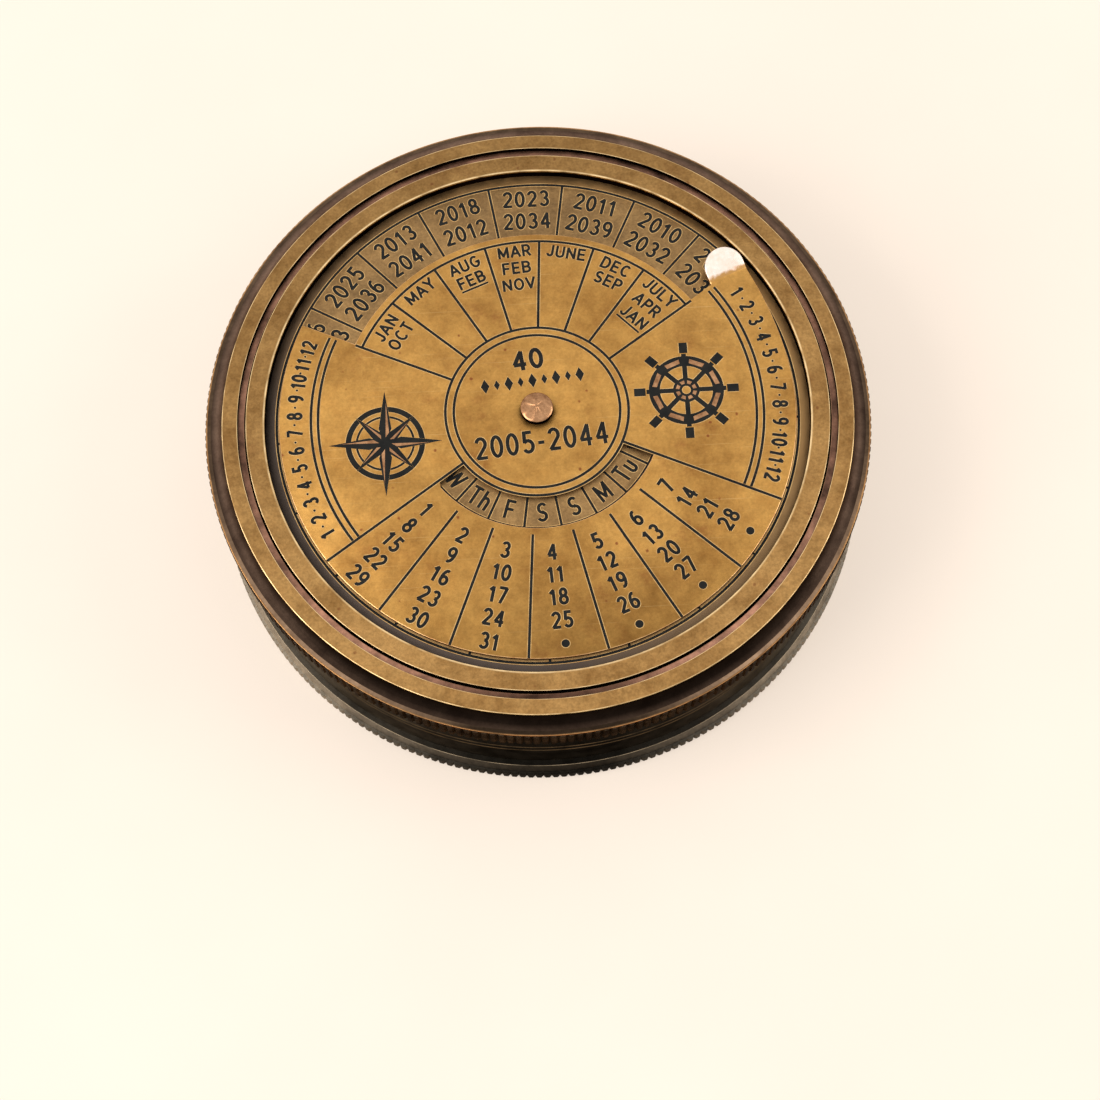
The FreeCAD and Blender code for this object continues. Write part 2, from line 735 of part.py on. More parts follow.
def make_rivet():
    """Domed rivet that holds the disc on the lid, closed on a burr below."""
    tail_top = D.tail_height
    seat_drop = D.burr_thick + D.web_thick + D.plate_thick + D.washer_thick
    head = tail_top + seat_drop + D.disc_thick + D.head_gap
    crown = D.head_height - D.head_edge
    dome = Size((crown.value ** 2 + D.head_radius.value ** 2) / (2 * crown.value),
                f"(({crown.formula} ^ 2 + Sizes.head_radius ^ 2) / (2 * {crown.formula}))")
    upset = Size((D.tail_height.value ** 2 + D.tail_radius.value ** 2) / (2 * D.tail_height.value),
                 "((Sizes.tail_height ^ 2 + Sizes.tail_radius ^ 2) / (2 * Sizes.tail_height))")
    rivet = turned("centre_rivet", [
        (ZERO, ZERO),
        (D.tail_radius, tail_top),
        (D.rivet_radius, tail_top),
        (D.rivet_radius, head),
        (D.head_radius, head),
        (D.head_radius, head + D.head_edge),
        (ZERO, head + D.head_height),
    ], {0: (upset, 1), 5: (dome, 1)})
    burr = washer("rivet_burr", D.rivet_fit, D.burr_radius, D.burr_thick)
    burr_foot = plate_seat() - D.web_thick - D.burr_thick
    return [lift(rivet, burr_foot - D.tail_height), lift(burr, burr_foot)]


def check_pieces(pieces):
    """Stop on a piece that is in error, empty or broken."""
    for item in DOC.Objects:
        if "Invalid" in item.State or "Error" in item.State:
            raise RuntimeError(f"{item.Name} is in state {item.State}")
    for piece in pieces:
        if piece.Shape.isNull() or not piece.Shape.isValid():
            raise RuntimeError(f"{piece.Label} has no valid shape")
        if len(piece.Shape.Solids) != 1:
            raise RuntimeError(f"{piece.Label} is not one solid")


def write_pieces(pieces):
    """Write each piece under its own name."""
    os.makedirs("parts", exist_ok=True)
    for piece in pieces:
        piece.Shape.exportStep(f"parts/{piece.Label}.step")
        box = piece.Shape.BoundBox
        print(f"{piece.Label}: z {box.ZMin:.2f} to {box.ZMax:.2f}, volume {piece.Shape.Volume:.1f}")


D = SizeTable(SIZES)
fill_sheet()

pieces = [make_base_plate(), make_barrel(), make_neck_ring()]
pieces += make_dial()
pieces += make_pivot()
pieces += make_glass()
pieces.append(make_needle())
pieces += make_needle_cap()
pieces += [make_lid_shell(), make_bezel()]
pieces.append(lift(washer("year_plate", D.rivet_fit, D.plate_radius, D.plate_thick), plate_seat()))
pieces.append(lift(washer("disc_washer", D.disc_bore, D.washer_radius, D.washer_thick),
                   plate_seat() + D.plate_thick))
pieces.append(make_calendar_disc())
pieces += make_rivet()

DOC.recompute()
check_pieces(pieces)
write_pieces(pieces)
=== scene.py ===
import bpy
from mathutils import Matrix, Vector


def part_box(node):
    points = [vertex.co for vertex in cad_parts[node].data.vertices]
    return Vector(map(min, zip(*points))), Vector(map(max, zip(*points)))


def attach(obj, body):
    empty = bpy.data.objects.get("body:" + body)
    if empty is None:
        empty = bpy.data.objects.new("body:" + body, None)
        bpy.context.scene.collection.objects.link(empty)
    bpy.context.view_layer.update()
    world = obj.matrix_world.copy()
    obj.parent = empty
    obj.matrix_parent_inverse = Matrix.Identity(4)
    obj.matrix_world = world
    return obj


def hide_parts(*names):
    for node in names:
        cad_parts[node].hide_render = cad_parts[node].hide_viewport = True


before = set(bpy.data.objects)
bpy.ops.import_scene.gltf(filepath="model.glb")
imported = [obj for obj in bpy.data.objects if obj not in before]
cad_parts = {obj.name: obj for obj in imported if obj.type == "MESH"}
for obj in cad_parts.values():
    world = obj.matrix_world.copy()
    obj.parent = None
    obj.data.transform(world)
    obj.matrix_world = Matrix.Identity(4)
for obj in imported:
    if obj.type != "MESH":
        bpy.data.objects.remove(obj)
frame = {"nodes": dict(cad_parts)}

import datetime
import logging
import math
from dataclasses import dataclass, field
from enum import Enum
from typing import Sequence

import bmesh
import bpy
from mathutils import Matrix, Vector

# The dressed calendar compass: turned brass shells round the frame's own
# solids, a calendar in black etching, and an open compass under the lid.
# Sizes are in millimetres here and become metres as each mesh is built.

MM = 0.001
TINY = 1e-6
LOG = logging.getLogger("calendar_compass")
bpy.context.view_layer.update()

Colour = tuple[float, float, float]
Point = tuple[float, float]


def tint(red: float, green: float, blue: float) -> Colour:
    """Turn a colour as a screen shows it, 0 to 255, into linear light."""
    def linear(value: float) -> float:
        """Undo the screen's curve for one channel."""
        share = value / 255.0
        return share / 12.92 if share <= 0.04045 else ((share + 0.055) / 1.055) ** 2.4
    return linear(red), linear(green), linear(blue)


def height_of(node: str, top: bool = True) -> float:
    """Height of a node's top or underside.

    Args:
        node: Name of the node in the frame.
        top: True for the top, False for the underside.

    Returns:
        The height in millimetres.
    """
    low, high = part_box(node)
    return (high.z if top else low.z) / MM


def polar(radius: float, degrees: float) -> Point:
    """Point at a radius, at an angle clockwise from the calendar's far side."""
    angle = math.radians(degrees)
    return radius * math.sin(angle), radius * math.cos(angle)


class Body(Enum):
    """Rigid bodies of the frame."""

    CASE = "case"
    NEEDLE = "needle"
    LID = "lid"
    DISC = "disc"


# Finishes

NEAR_SIDE = 180.0


class Shader:
    """A material's node tree, with short calls to add and join nodes."""

    def __init__(self, name: str) -> None:
        """Start an empty principled material called name."""
        self.material = bpy.data.materials.new(name)
        self.material.use_nodes = True
        self.tree = self.material.node_tree
        self.surface = self.tree.nodes["Principled BSDF"]

    def add(self, kind: str, **settings: object) -> bpy.types.Node:
        """Add a node.

        Args:
            kind: Blender's name of the node type.
            **settings: Properties of the node, or values of its inputs.

        Returns:
            The new node.
        """
        node = self.tree.nodes.new(kind)
        for name, value in settings.items():
            if hasattr(node, name):
                setattr(node, name, value)
            else:
                node.inputs[name.replace("_", " ")].default_value = value
        return node

    def join(self, source: bpy.types.NodeSocket, target: bpy.types.NodeSocket) -> None:
        """Link an output to an input."""
        self.tree.links.new(source, target)

    def place(self, turn: float = 0.0, stretch: Colour = (1.0, 1.0, 1.0)) -> bpy.types.NodeSocket:
        """Object coordinates in millimetres.

        Args:
            turn: Turn about the vertical, in degrees.
            stretch: Scale of each axis, to draw a pattern out.

        Returns:
            The vector socket.
        """
        where = self.add("ShaderNodeTexCoord")
        mapping = self.add("ShaderNodeMapping")
        mapping.inputs["Rotation"].default_value = (0.0, 0.0, math.radians(turn))
        mapping.inputs["Scale"].default_value = tuple(part / MM for part in stretch)
        self.join(where.outputs["Object"], mapping.inputs["Vector"])
        return mapping.outputs["Vector"]

    def part(self, where: bpy.types.NodeSocket, axis: str) -> bpy.types.NodeSocket:
        """One axis, X, Y or Z, of a vector."""
        spot = self.add("ShaderNodeSeparateXYZ")
        self.join(where, spot.inputs[0])
        return spot.outputs[axis]

    def noise(self, where: bpy.types.NodeSocket, size: float, detail: float = 3.0,
              roughness: float = 0.55) -> bpy.types.NodeSocket:
        """Cloudy noise whose features are about size millimetres.

        Args:
            where: Coordinates in millimetres.
            size: Size of a feature.
            detail: Octaves of finer noise.
            roughness: Strength of the finer octaves.

        Returns:
            The value socket, 0 to 1.
        """
        cloud = self.add("ShaderNodeTexNoise", Scale=1.0 / size, Detail=detail, Roughness=roughness)
        self.join(where, cloud.inputs["Vector"])
        return cloud.outputs["Fac"]

    def window(self, value: bpy.types.NodeSocket, low: float, high: float,
               to_low: float = 0.0, to_high: float = 1.0) -> bpy.types.NodeSocket:
        """Map a range of a value to another, clamped.

        Args:
            value: The value.
            low: Value that becomes to_low.
            high: Value that becomes to_high.
            to_low: Result at the low end.
            to_high: Result at the high end.

        Returns:
            The mapped value.
        """
        step = self.add("ShaderNodeMapRange")
        names = ("From Min", "From Max", "To Min", "To Max")
        for name, number in zip(names, (low, high, to_low, to_high)):
            step.inputs[name].default_value = number
        self.join(value, step.inputs["Value"])
        return step.outputs["Result"]

    def mix(self, share: bpy.types.NodeSocket, first: object, second: object) -> bpy.types.NodeSocket:
        """Blend two colours.

        Args:
            share: Share of the second colour.
            first: A colour or a socket.
            second: A colour or a socket.

        Returns:
            The colour socket.
        """
        node = self.add("ShaderNodeMix", data_type="RGBA")
        self.join(share, node.inputs["Factor"])
        for name, colour in (("A", first), ("B", second)):
            socket = next(s for s in node.inputs if s.name == name and s.type == "RGBA")
            if isinstance(colour, bpy.types.NodeSocket):
                self.join(colour, socket)
            else:
                socket.default_value = (*colour, 1.0)
        return next(s for s in node.outputs if s.type == "RGBA")

    def calculate(self, rule: str, *values: object) -> bpy.types.NodeSocket:
        """Sum, product or other rule of values.

        Args:
            rule: Blender's name of the rule.
            *values: Numbers or sockets.

        Returns:
            The result.
        """
        node = self.add("ShaderNodeMath", operation=rule)
        for socket, value in zip(node.inputs, values):
            if isinstance(value, bpy.types.NodeSocket):
                self.join(value, socket)
            else:
                socket.default_value = value
        return node.outputs[0]

    def scaled(self, colour: bpy.types.NodeSocket, share: bpy.types.NodeSocket) -> bpy.types.NodeSocket:
        """Colour multiplied by a value."""
        node = self.add("ShaderNodeMix", data_type="RGBA", blend_type="MULTIPLY")
        node.inputs[0].default_value = 1.0
        sockets = [s for s in node.inputs if s.type == "RGBA"]
        self.join(colour, sockets[0])
        self.join(share, sockets[1])
        return next(s for s in node.outputs if s.type == "RGBA")

    def radius(self) -> bpy.types.NodeSocket:
        """Distance from the rings' axis in millimetres."""
        parts = [self.part(self.place(), axis) for axis in ("X", "Y")]
        squares = [self.calculate("MULTIPLY", part, part) for part in parts]
        return self.calculate("SQRT", self.calculate("ADD", *squares))

    def bump(self, value: bpy.types.NodeSocket, height: float, strength: float = 1.0) -> None:
        """Bump the surface by a value.

        Args:
            value: Height, 0 to 1.
            height: Depth of the bump in millimetres.
            strength: Strength of the bump.
        """
        node = self.add("ShaderNodeBump", Strength=strength, Distance=height * MM)
        self.join(value, node.inputs["Height"])
        self.join(node.outputs["Normal"], self.surface.inputs["Normal"])


class Marks(Enum):
    """Direction of the fine tool marks in a metal surface."""

    TURNED = "rings left by the lathe"
    BRUSHED = "straight strokes"
    NONE = "no marks"


@dataclass(frozen=True)
class AgedBrass:
    """Old brass: clouds of patina, stains, spots, scratches, tool marks, and edges bright from rubbing
    with a painted highlight.

    The dark and light sides that the room gives the metal are painted into its colours.
    dark is the painted light left at the far end of dark_span, which is measured from
    the axis towards dark_side. A hollow's wall and foot lie at the radii of
    hollow and get painted light, near_light on the near side and far_light on the
    far side, over near_span. Beyond rim_radius a plate's margin has two colours: dirt with
    painted shade, and a painted lit side. Below low_level the metal fades into low_colour.
    """

    name: str
    metal: Colour
    patina: Colour
    edge: Colour = tint(240, 200, 132)
    stain: Colour = tint(120, 64, 38)
    cloud_size: float = 7.0
    rough_low: float = 0.34
    rough_high: float = 0.52
    spots: float = 0.5
    scratches: float = 0.0
    marks: Marks = Marks.BRUSHED
    mark_depth: float = 0.004
    grain: float = 0.14
    grazing: float = 1.0
    metallic: float = 1.0
    rim_radius: float = 0.0
    rim_colour: Colour = tint(90, 78, 70)
    rim_bright: Colour = tint(184, 144, 94)
    rim_side: float = 45.0
    rim_fade: float = 0.12
    rim_span: tuple[float, float] = (-20.0, 20.0)
    hollow: tuple[float, float] = (0.0, 0.0)
    near_light: tuple[float, float] = (1.0, 1.0)
    far_light: tuple[float, float] = (1.0, 1.0)
    near_span: tuple[float, float] = (6.0, 26.0)
    low_level: float = 0.0
    low_colour: Colour = tint(190, 141, 78)
    low_fade: float = 0.14
    dark: float = 1.0
    dark_side: float = NEAR_SIDE
    dark_span: tuple[float, float] = (-25.0, 32.0)

    def make(self) -> bpy.types.Material:
        """Build the material."""
        shader = Shader(self.name)
        where = shader.place()
        clouds = shader.window(shader.noise(where, self.cloud_size, 3.0, 0.5), 0.38, 0.66)
        mottle = shader.window(shader.noise(where, self.cloud_size * 0.22, 5.0, 0.65), 0.36, 0.66)
        share = shader.calculate("MULTIPLY_ADD", mottle, 0.45, shader.calculate("MULTIPLY", clouds, 0.55))
        colour = shader.mix(share, self.metal, self.patina)
        colour = self.grained(shader, where, colour)
        if self.scratches > 0.0:
            colour = self.scratched(shader, colour)
        colour = self.stained(shader, where, colour)
        # Painted margin beyond rim_radius: dirt with painted shade, turning into a painted lit colour
        # towards one side.
        if self.rim_radius > 0.0:
            beyond = shader.window(shader.radius(), self.rim_radius, self.rim_radius + self.rim_fade)
            lit = shader.window(self.along(shader, self.rim_side), *self.rim_span)
            colour = shader.mix(beyond, colour, shader.mix(lit, self.rim_colour, self.rim_bright))
        # Painted light and shade across a hollow, one on the near side and another on the far side.
        if self.hollow[1] > 0.0:
            colour = shader.scaled(colour, self.hollow_light(shader))
        if self.low_level > 0.0:
            colour = self.fading(shader, where, colour)
        # Painted shade: the colour darkens towards dark_side over dark_span.
        if self.dark < 1.0:
            share = shader.window(self.along(shader, self.dark_side), *self.dark_span, 1.0, self.dark)
            colour = shader.scaled(colour, share)
        # Edges bright from rubbing, which also carry a painted highlight in the edge colour.
        rub_and_highlight_node = shader.add("ShaderNodeAttribute", attribute_name="rub_and_highlight")
        rub_and_highlight = shader.calculate("MULTIPLY", rub_and_highlight_node.outputs["Fac"],
                                  shader.window(shader.noise(where, 2.2, 4.0), 0.28, 0.6))
        colour = shader.mix(rub_and_highlight, colour, self.edge)
        shader.join(colour, shader.surface.inputs["Base Color"])
        rough = shader.window(shader.noise(where, 1.6, 4.0), 0.3, 0.7, self.rough_low, self.rough_high)
        shader.join(rough, shader.surface.inputs["Roughness"])
        shader.surface.inputs["Metallic"].default_value = self.metallic
        shader.surface.inputs["Specular Tint"].default_value = (*(3 * (self.grazing,)), 1.0)
        shader.bump(self.tooling(shader), self.mark_depth, 0.6)
        return shader.material

    def grained(self, shader: Shader, where: bpy.types.NodeSocket,
                colour: bpy.types.NodeSocket) -> bpy.types.NodeSocket:
        """Vary a colour's brightness in fine grain.

        Args:
            shader: The material being built.
            where: Coordinates in millimetres.
            colour: Colour without grain.

        Returns:
            Colour with grain.
        """
        fine = shader.window(shader.noise(where, 0.32, 3.0, 0.7), 0.3, 0.7,
                             1.0 - self.grain, 1.0 + self.grain)
        return shader.scaled(colour, fine)

    def fading(self, shader: Shader, where: bpy.types.NodeSocket,
               colour: bpy.types.NodeSocket) -> bpy.types.NodeSocket:
        """Fade a colour into the one around it below a ragged level.

        Args:
            shader: The material being built.
            where: Coordinates in millimetres.
            colour: Colour above the level.

        Returns:
            Colour at every level.
        """
        height = shader.part(where, "Z")
        ragged = shader.calculate("MULTIPLY_ADD", shader.noise(where, 1.1, 3.0), 0.5, height)
        share = shader.window(ragged, self.low_level, self.low_level + self.low_fade)
        return shader.mix(share, self.low_colour, colour)

    def hollow_light(self, shader: Shader) -> bpy.types.NodeSocket:
        """Light from a hollow's wall to its foot, another on the near side than on the far side.

        Args:
            shader: The material being built.

        Returns:
            The light, 1 where nothing changes.
        """
        near = shader.window(shader.radius(), *self.hollow, *self.near_light)
        far = shader.window(shader.radius(), *self.hollow, *self.far_light)
        side = shader.window(self.along(shader, NEAR_SIDE), *self.near_span)
        return shader.calculate("MULTIPLY_ADD", side, shader.calculate("SUBTRACT", near, far), far)

    def along(self, shader: Shader, side: float) -> bpy.types.NodeSocket:
        """Distance from the axis towards one side of the case.

        Args:
            shader: The material being built.
            side: The side, in degrees clockwise from the far side.

        Returns:
            The distance in millimetres.
        """
        return shader.part(shader.place(side), "Y")

    def scratched(self, shader: Shader, colour: bpy.types.NodeSocket) -> bpy.types.NodeSocket:
        """Lay thin light scratches in three directions.

        Args:
            shader: The material being built.
            colour: Colour without scratches.

        Returns:
            Colour with scratches.
        """
        for turn, step in ((22.0, 8.0), (74.0, 9.0), (-41.0, 7.0)):
            where = shader.place(turn, (0.06, step, 1.0))
            line = shader.window(shader.noise(where, 1.0, 2.0), 0.7, 0.77, 0.0, self.scratches)
            colour = shader.mix(line, colour, self.edge)
        return colour

    def stained(self, shader: Shader, where: bpy.types.NodeSocket,
                colour: bpy.types.NodeSocket) -> bpy.types.NodeSocket:
        """Lay reddish stains and small dark spots, thicker in some places.

        Args:
            shader: The material being built.
            where: Coordinates in millimetres.
            colour: Colour without stains.

        Returns:
            Colour with stains.
        """
        region = shader.window(shader.noise(where, 9.0, 2.0), 0.5, 0.66)
        patch = shader.window(shader.noise(where, 2.4, 5.0, 0.7), 0.52, 0.72, 0.0, self.spots * 0.7)
        colour = shader.mix(shader.calculate("MULTIPLY", region, patch), colour, self.stain)
        cells = shader.add("ShaderNodeTexVoronoi", Scale=0.38)
        shader.join(where, cells.inputs["Vector"])
        ragged = shader.calculate("MULTIPLY_ADD", shader.noise(where, 0.4, 3.0), 0.12,
                                  cells.outputs["Distance"])
        dots = shader.window(ragged, 0.1, 0.15, self.spots, 0.0)
        return shader.mix(dots, colour, self.stain)

    def tooling(self, shader: Shader) -> bpy.types.NodeSocket:
        """Height of the tool marks.

        Args:
            shader: The material being built.

        Returns:
            The height, 0 to 1.
        """
        if self.marks is Marks.TURNED:
            line = shader.add("ShaderNodeCombineXYZ")
            shader.join(shader.radius(), line.inputs["X"])
            shader.join(shader.part(shader.place(), "Z"), line.inputs["Y"])
            return shader.noise(line.outputs[0], 0.16, 3.0)
        if self.marks is Marks.BRUSHED:
            strokes = shader.noise(shader.place(24.0, (0.16, 3.0, 1.0)), 1.0, 4.0)
            across = shader.noise(shader.place(-63.0, (0.2, 3.4, 1.0)), 1.0, 3.0)
            return shader.calculate("ADD", strokes, across)
        return shader.noise(shader.place(), 0.7, 3.0)


@dataclass(frozen=True)
class Coating:
    """Smooth covering such as paint in an etching, card, rubber or fibre."""

    name: str
    colour: Colour
    second: Colour
    cloud_size: float = 2.0
    roughness: float = 0.4
    gloss: float = 0.5
    bump_depth: float = 0.003

    def make(self) -> bpy.types.Material:
        """Build the material."""
        shader = Shader(self.name)
        where = shader.place()
        share = shader.window(shader.noise(where, self.cloud_size, 4.0), 0.35, 0.65)
        shader.join(shader.mix(share, self.colour, self.second), shader.surface.inputs["Base Color"])
        rough = shader.window(shader.noise(where, 0.8, 3.0), 0.2, 0.8,
                              self.roughness * 0.8, min(1.0, self.roughness * 1.2))
        shader.join(rough, shader.surface.inputs["Roughness"])
        shader.surface.inputs["Specular IOR Level"].default_value = self.gloss
        shader.bump(shader.noise(where, 0.3, 3.0), self.bump_depth, 0.5)
        return shader.material


@dataclass(frozen=True)
class ClearGlass:
    """Clear glass or a clear coloured stone."""

    name: str
    colour: Colour
    index: float = 1.5

    def make(self) -> bpy.types.Material:
        """Build the material."""
        shader = Shader(self.name)
        shader.surface.inputs["Base Color"].default_value = (*self.colour, 1.0)
        shader.surface.inputs["Transmission Weight"].default_value = 1.0
        shader.surface.inputs["IOR"].default_value = self.index
        smear = shader.window(shader.noise(shader.place(), 9.0, 3.0), 0.4, 0.7, 0.0, 0.05)
        shader.join(smear, shader.surface.inputs["Roughness"])
        return shader.material


class Finish(Enum):
    """Finishes of the compass, each made once and shared."""

    # Aged disc with a painted shade on its near side.
    DISC = AgedBrass("aged_and_shaded_disc", tint(212, 160, 86), tint(160, 113, 56), cloud_size=10.0,
                     edge=tint(244, 206, 142), stain=tint(134, 70, 42), scratches=0.3, grain=0.12,
                     spots=0.8, dark=0.68, dark_span=(16.0, 28.0))
    # Cut edges of the disc in a dark colour: painted shade along the step.
    DISC_EDGE = AgedBrass("shaded_disc_edge", tint(110, 80, 46), tint(62, 44, 28), spots=0.2)
    # Bevels of the disc's edges in a pale colour: a painted highlight.
    DISC_RUB = AgedBrass("highlit_disc_bevel", tint(250, 202, 140), tint(196, 136, 84), cloud_size=2.0,
                         spots=0.0, rough_low=0.26, rough_high=0.4, marks=Marks.NONE)
    # Bent finger tab in near-white: a painted reflection, fading into the disc's colour below low_level;
    # its stains are real.
    TAB = AgedBrass("highlit_tab", tint(255, 242, 230), tint(252, 212, 188), cloud_size=2.4,
                    stain=tint(200, 124, 84), rough_low=0.24, rough_high=0.36, spots=0.25, grain=0.05,
                    metallic=0.4, low_level=17.8)
    # Plate whose margin beyond rim_radius holds dirt with painted shade and a painted lit side.
    PLATE = AgedBrass("dull_plate", tint(173, 136, 88), tint(133, 104, 69), cloud_size=5.0,
                      rough_low=0.42, rough_high=0.6, spots=0.15, grain=0.2, scratches=0.15,
                      rim_radius=29.5)
    # Aged rim with painted shade towards dark_side.
    RIM = AgedBrass("aged_and_shaded_rim", tint(194, 149, 90), tint(144, 104, 57), cloud_size=5.0,
                    edge=tint(255, 220, 164), grain=0.2, marks=Marks.TURNED, mark_depth=0.003,
                    dark=0.74, dark_side=-20.0, dark_span=(-20.0, 30.0))
    # Grip band and knurl in a dark colour: painted shade for the dark surroundings they reflect.
    LIP = AgedBrass("shaded_lip", tint(92, 76, 58), tint(56, 45, 35), edge=tint(190, 118, 66),
                    cloud_size=4.0, spots=0.1, grazing=0.2, marks=Marks.TURNED)
    # Lip's top edge in a light colour: a painted highlight, with painted shade on the near side.
    LIP_EDGE = AgedBrass("highlit_lip_edge", tint(190, 144, 96), tint(124, 88, 58), cloud_size=3.0,
                         edge=tint(204, 152, 98), spots=0.0, rough_low=0.26, rough_high=0.4,
                         marks=Marks.NONE, dark=0.45, dark_span=(28.0, 37.0))
    # Flat of the lip in a light colour: painted sheen, with painted shade across the hollow and on the
    # near side.
    LIP_FLAT = AgedBrass("lit_lip_flat", tint(190, 154, 122), tint(130, 103, 81), cloud_size=6.0,
                         spots=0.0, rough_low=0.3, rough_high=0.44, grazing=0.4,
                         marks=Marks.TURNED, hollow=(36.2, 36.85), far_light=(1.0, 0.26),
                         dark=0.1, dark_span=(31.5, 36.2))
    # Cove with painted light across its hollow and painted shade towards the near side.
    COVE = AgedBrass("shaded_cove", tint(140, 112, 93), tint(96, 74, 61), cloud_size=8.0, spots=0.0,
                     rough_low=0.44, rough_high=0.56, grazing=0.4, marks=Marks.TURNED,
                     mark_depth=0.002, hollow=(36.2, 36.85), near_light=(0.5, 2.0),
                     far_light=(1.2, 0.5), dark=0.13, dark_span=(-30.0, 30.0))
    # Waist in a light grey-brown for its lit sides, with painted shade on the near side.
    WAIST = AgedBrass("shaded_waist", tint(124, 114, 100), tint(84, 77, 67), cloud_size=9.0, spots=0.1,
                      edge=tint(104, 88, 68), rough_low=0.4, rough_high=0.56, grazing=0.3,
                      marks=Marks.TURNED, mark_depth=0.003, dark=0.16, dark_span=(22.0, 37.0))
    # Flange in a light colour for its lit sides, with painted shade on the near side.
    FLANGE = AgedBrass("lit_and_shaded_flange", tint(186, 172, 152), tint(128, 118, 104), cloud_size=5.0,
                       spots=0.2, edge=tint(214, 196, 166), rough_low=0.45, rough_high=0.65,
                       grazing=0.4, marks=Marks.TURNED, dark=0.05, dark_span=(26.0, 38.0))
    # Groove floor with painted light on its near sides and painted shade at the very front.
    GROOVE = AgedBrass("copper_groove", tint(168, 121, 97), tint(50, 36, 29), cloud_size=9.0,
                       edge=tint(176, 130, 104), spots=0.0, rough_low=0.3, rough_high=0.5,
                       marks=Marks.TURNED, hollow=(32.9, 33.6), near_light=(1.9, 1.9),
                       far_light=(0.95, 0.95), dark=0.2, dark_span=(29.5, 33.2))
    # Walls in near black: painted shade where ring walls and the rivet's side lie in shadow.
    WALL = AgedBrass("shaded_wall", tint(44, 30, 23), tint(22, 17, 15), spots=0.0, grazing=0.1)
    COPPER = AgedBrass("bright_copper", tint(208, 157, 114), tint(140, 96, 64), cloud_size=1.6,
                       rough_low=0.26, rough_high=0.4, spots=0.3, marks=Marks.NONE)
    INSIDE = AgedBrass("turned_inside", tint(196, 154, 86), tint(150, 108, 58), cloud_size=12.0,
                       marks=Marks.TURNED)
    SILVERED = AgedBrass("silvered_ring", tint(206, 202, 188), tint(176, 168, 146), cloud_size=8.0,
                         spots=0.1, marks=Marks.TURNED)
    BLUED = AgedBrass("blued_steel", tint(44, 58, 104), tint(28, 34, 62), cloud_size=4.0, spots=0.0,
                      edge=tint(96, 116, 168), rough_low=0.2, rough_high=0.3)
    STEEL = AgedBrass("bright_steel", tint(176, 176, 174), tint(140, 140, 138), cloud_size=1.0,
                      spots=0.0, edge=tint(220, 220, 220), rough_low=0.2, rough_high=0.3)
    ETCH = Coating("black_etching", tint(34, 33, 30), tint(22, 22, 21), 1.5, 0.5, 0.12)
    # Light brass round each etched mark: a painted highlight on the etching's broken edge.
    ETCH_RIM = AgedBrass("etching_edge_highlight", tint(240, 200, 136), tint(194, 146, 88), cloud_size=2.0,
                         spots=0.0, marks=Marks.NONE)
    CARD = Coating("printed_card", tint(232, 226, 206), tint(214, 204, 176), 6.0, 0.8)
    RUBBER = Coating("black_rubber", tint(34, 34, 34), tint(24, 24, 24), 1.0, 0.8)
    FIBRE = Coating("red_fibre", tint(120, 70, 40), tint(92, 52, 30), 0.6, 0.85)
    GLASS = ClearGlass("clear_glass", tint(250, 253, 251))
    JEWEL = ClearGlass("clear_jewel", tint(190, 40, 60), 1.76)

    @property
    def material(self) -> bpy.types.Material:
        """The finish's material, built when first asked for."""
        found = bpy.data.materials.get(self.value.name)
        return found if found is not None else self.value.make()


# Mesh helpers


def new_object(name: str, mesh: bpy.types.Mesh) -> bpy.types.Object:
    """Object at the origin with a mesh, linked to the scene."""
    piece = bpy.data.objects.new(name, mesh)
    bpy.context.scene.collection.objects.link(piece)
    return piece


def settle(piece: bpy.types.Object, body: Body, nodes: Sequence[str] = ()) -> bpy.types.Object:
    """Ride a finished piece on its body and hide the nodes that it replaces.

    Args:
        piece: The finished piece.
        body: Body that it moves with.
        nodes: Nodes that it replaces.

    Returns:
        The piece.
    """
    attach(piece, body.value)
    if nodes:
        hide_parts(*nodes)
    LOG.info("%s rides on %s: %d faces", piece.name, body.value, len(piece.data.polygons))
    return piece


def finished_mesh(work: bmesh.types.BMesh, name: str, smooth: float = 35.0) -> bpy.types.Mesh:
    """Turn a working mesh into a shaded mesh.

    Args:
        work: The working mesh, which is freed.
        name: Name of the mesh.
        smooth: Edges sharper than this many degrees stay sharp; 0 leaves the mesh flat.

    Returns:
        The mesh.
    """
    mesh = bpy.data.meshes.new(name)
    work.to_mesh(mesh)
    work.free()
    if smooth > 0.0:
        mesh.polygons.foreach_set("use_smooth", [True] * len(mesh.polygons))
        mesh.set_sharp_from_angle(angle=math.radians(smooth))
    return mesh


def dress(piece: bpy.types.Object, *finishes: Finish) -> None:
    """Give a piece its materials in order."""
    if piece.data.materials:
        piece.data.materials.clear()
    for finish in finishes:
        piece.data.materials.append(finish.material)


@dataclass(frozen=True)
class Cut:
    """Corner of a turned profile and the finish of the surface after it."""

    radius: float
    height: float
    finish: Finish
    edge: float = 0.08


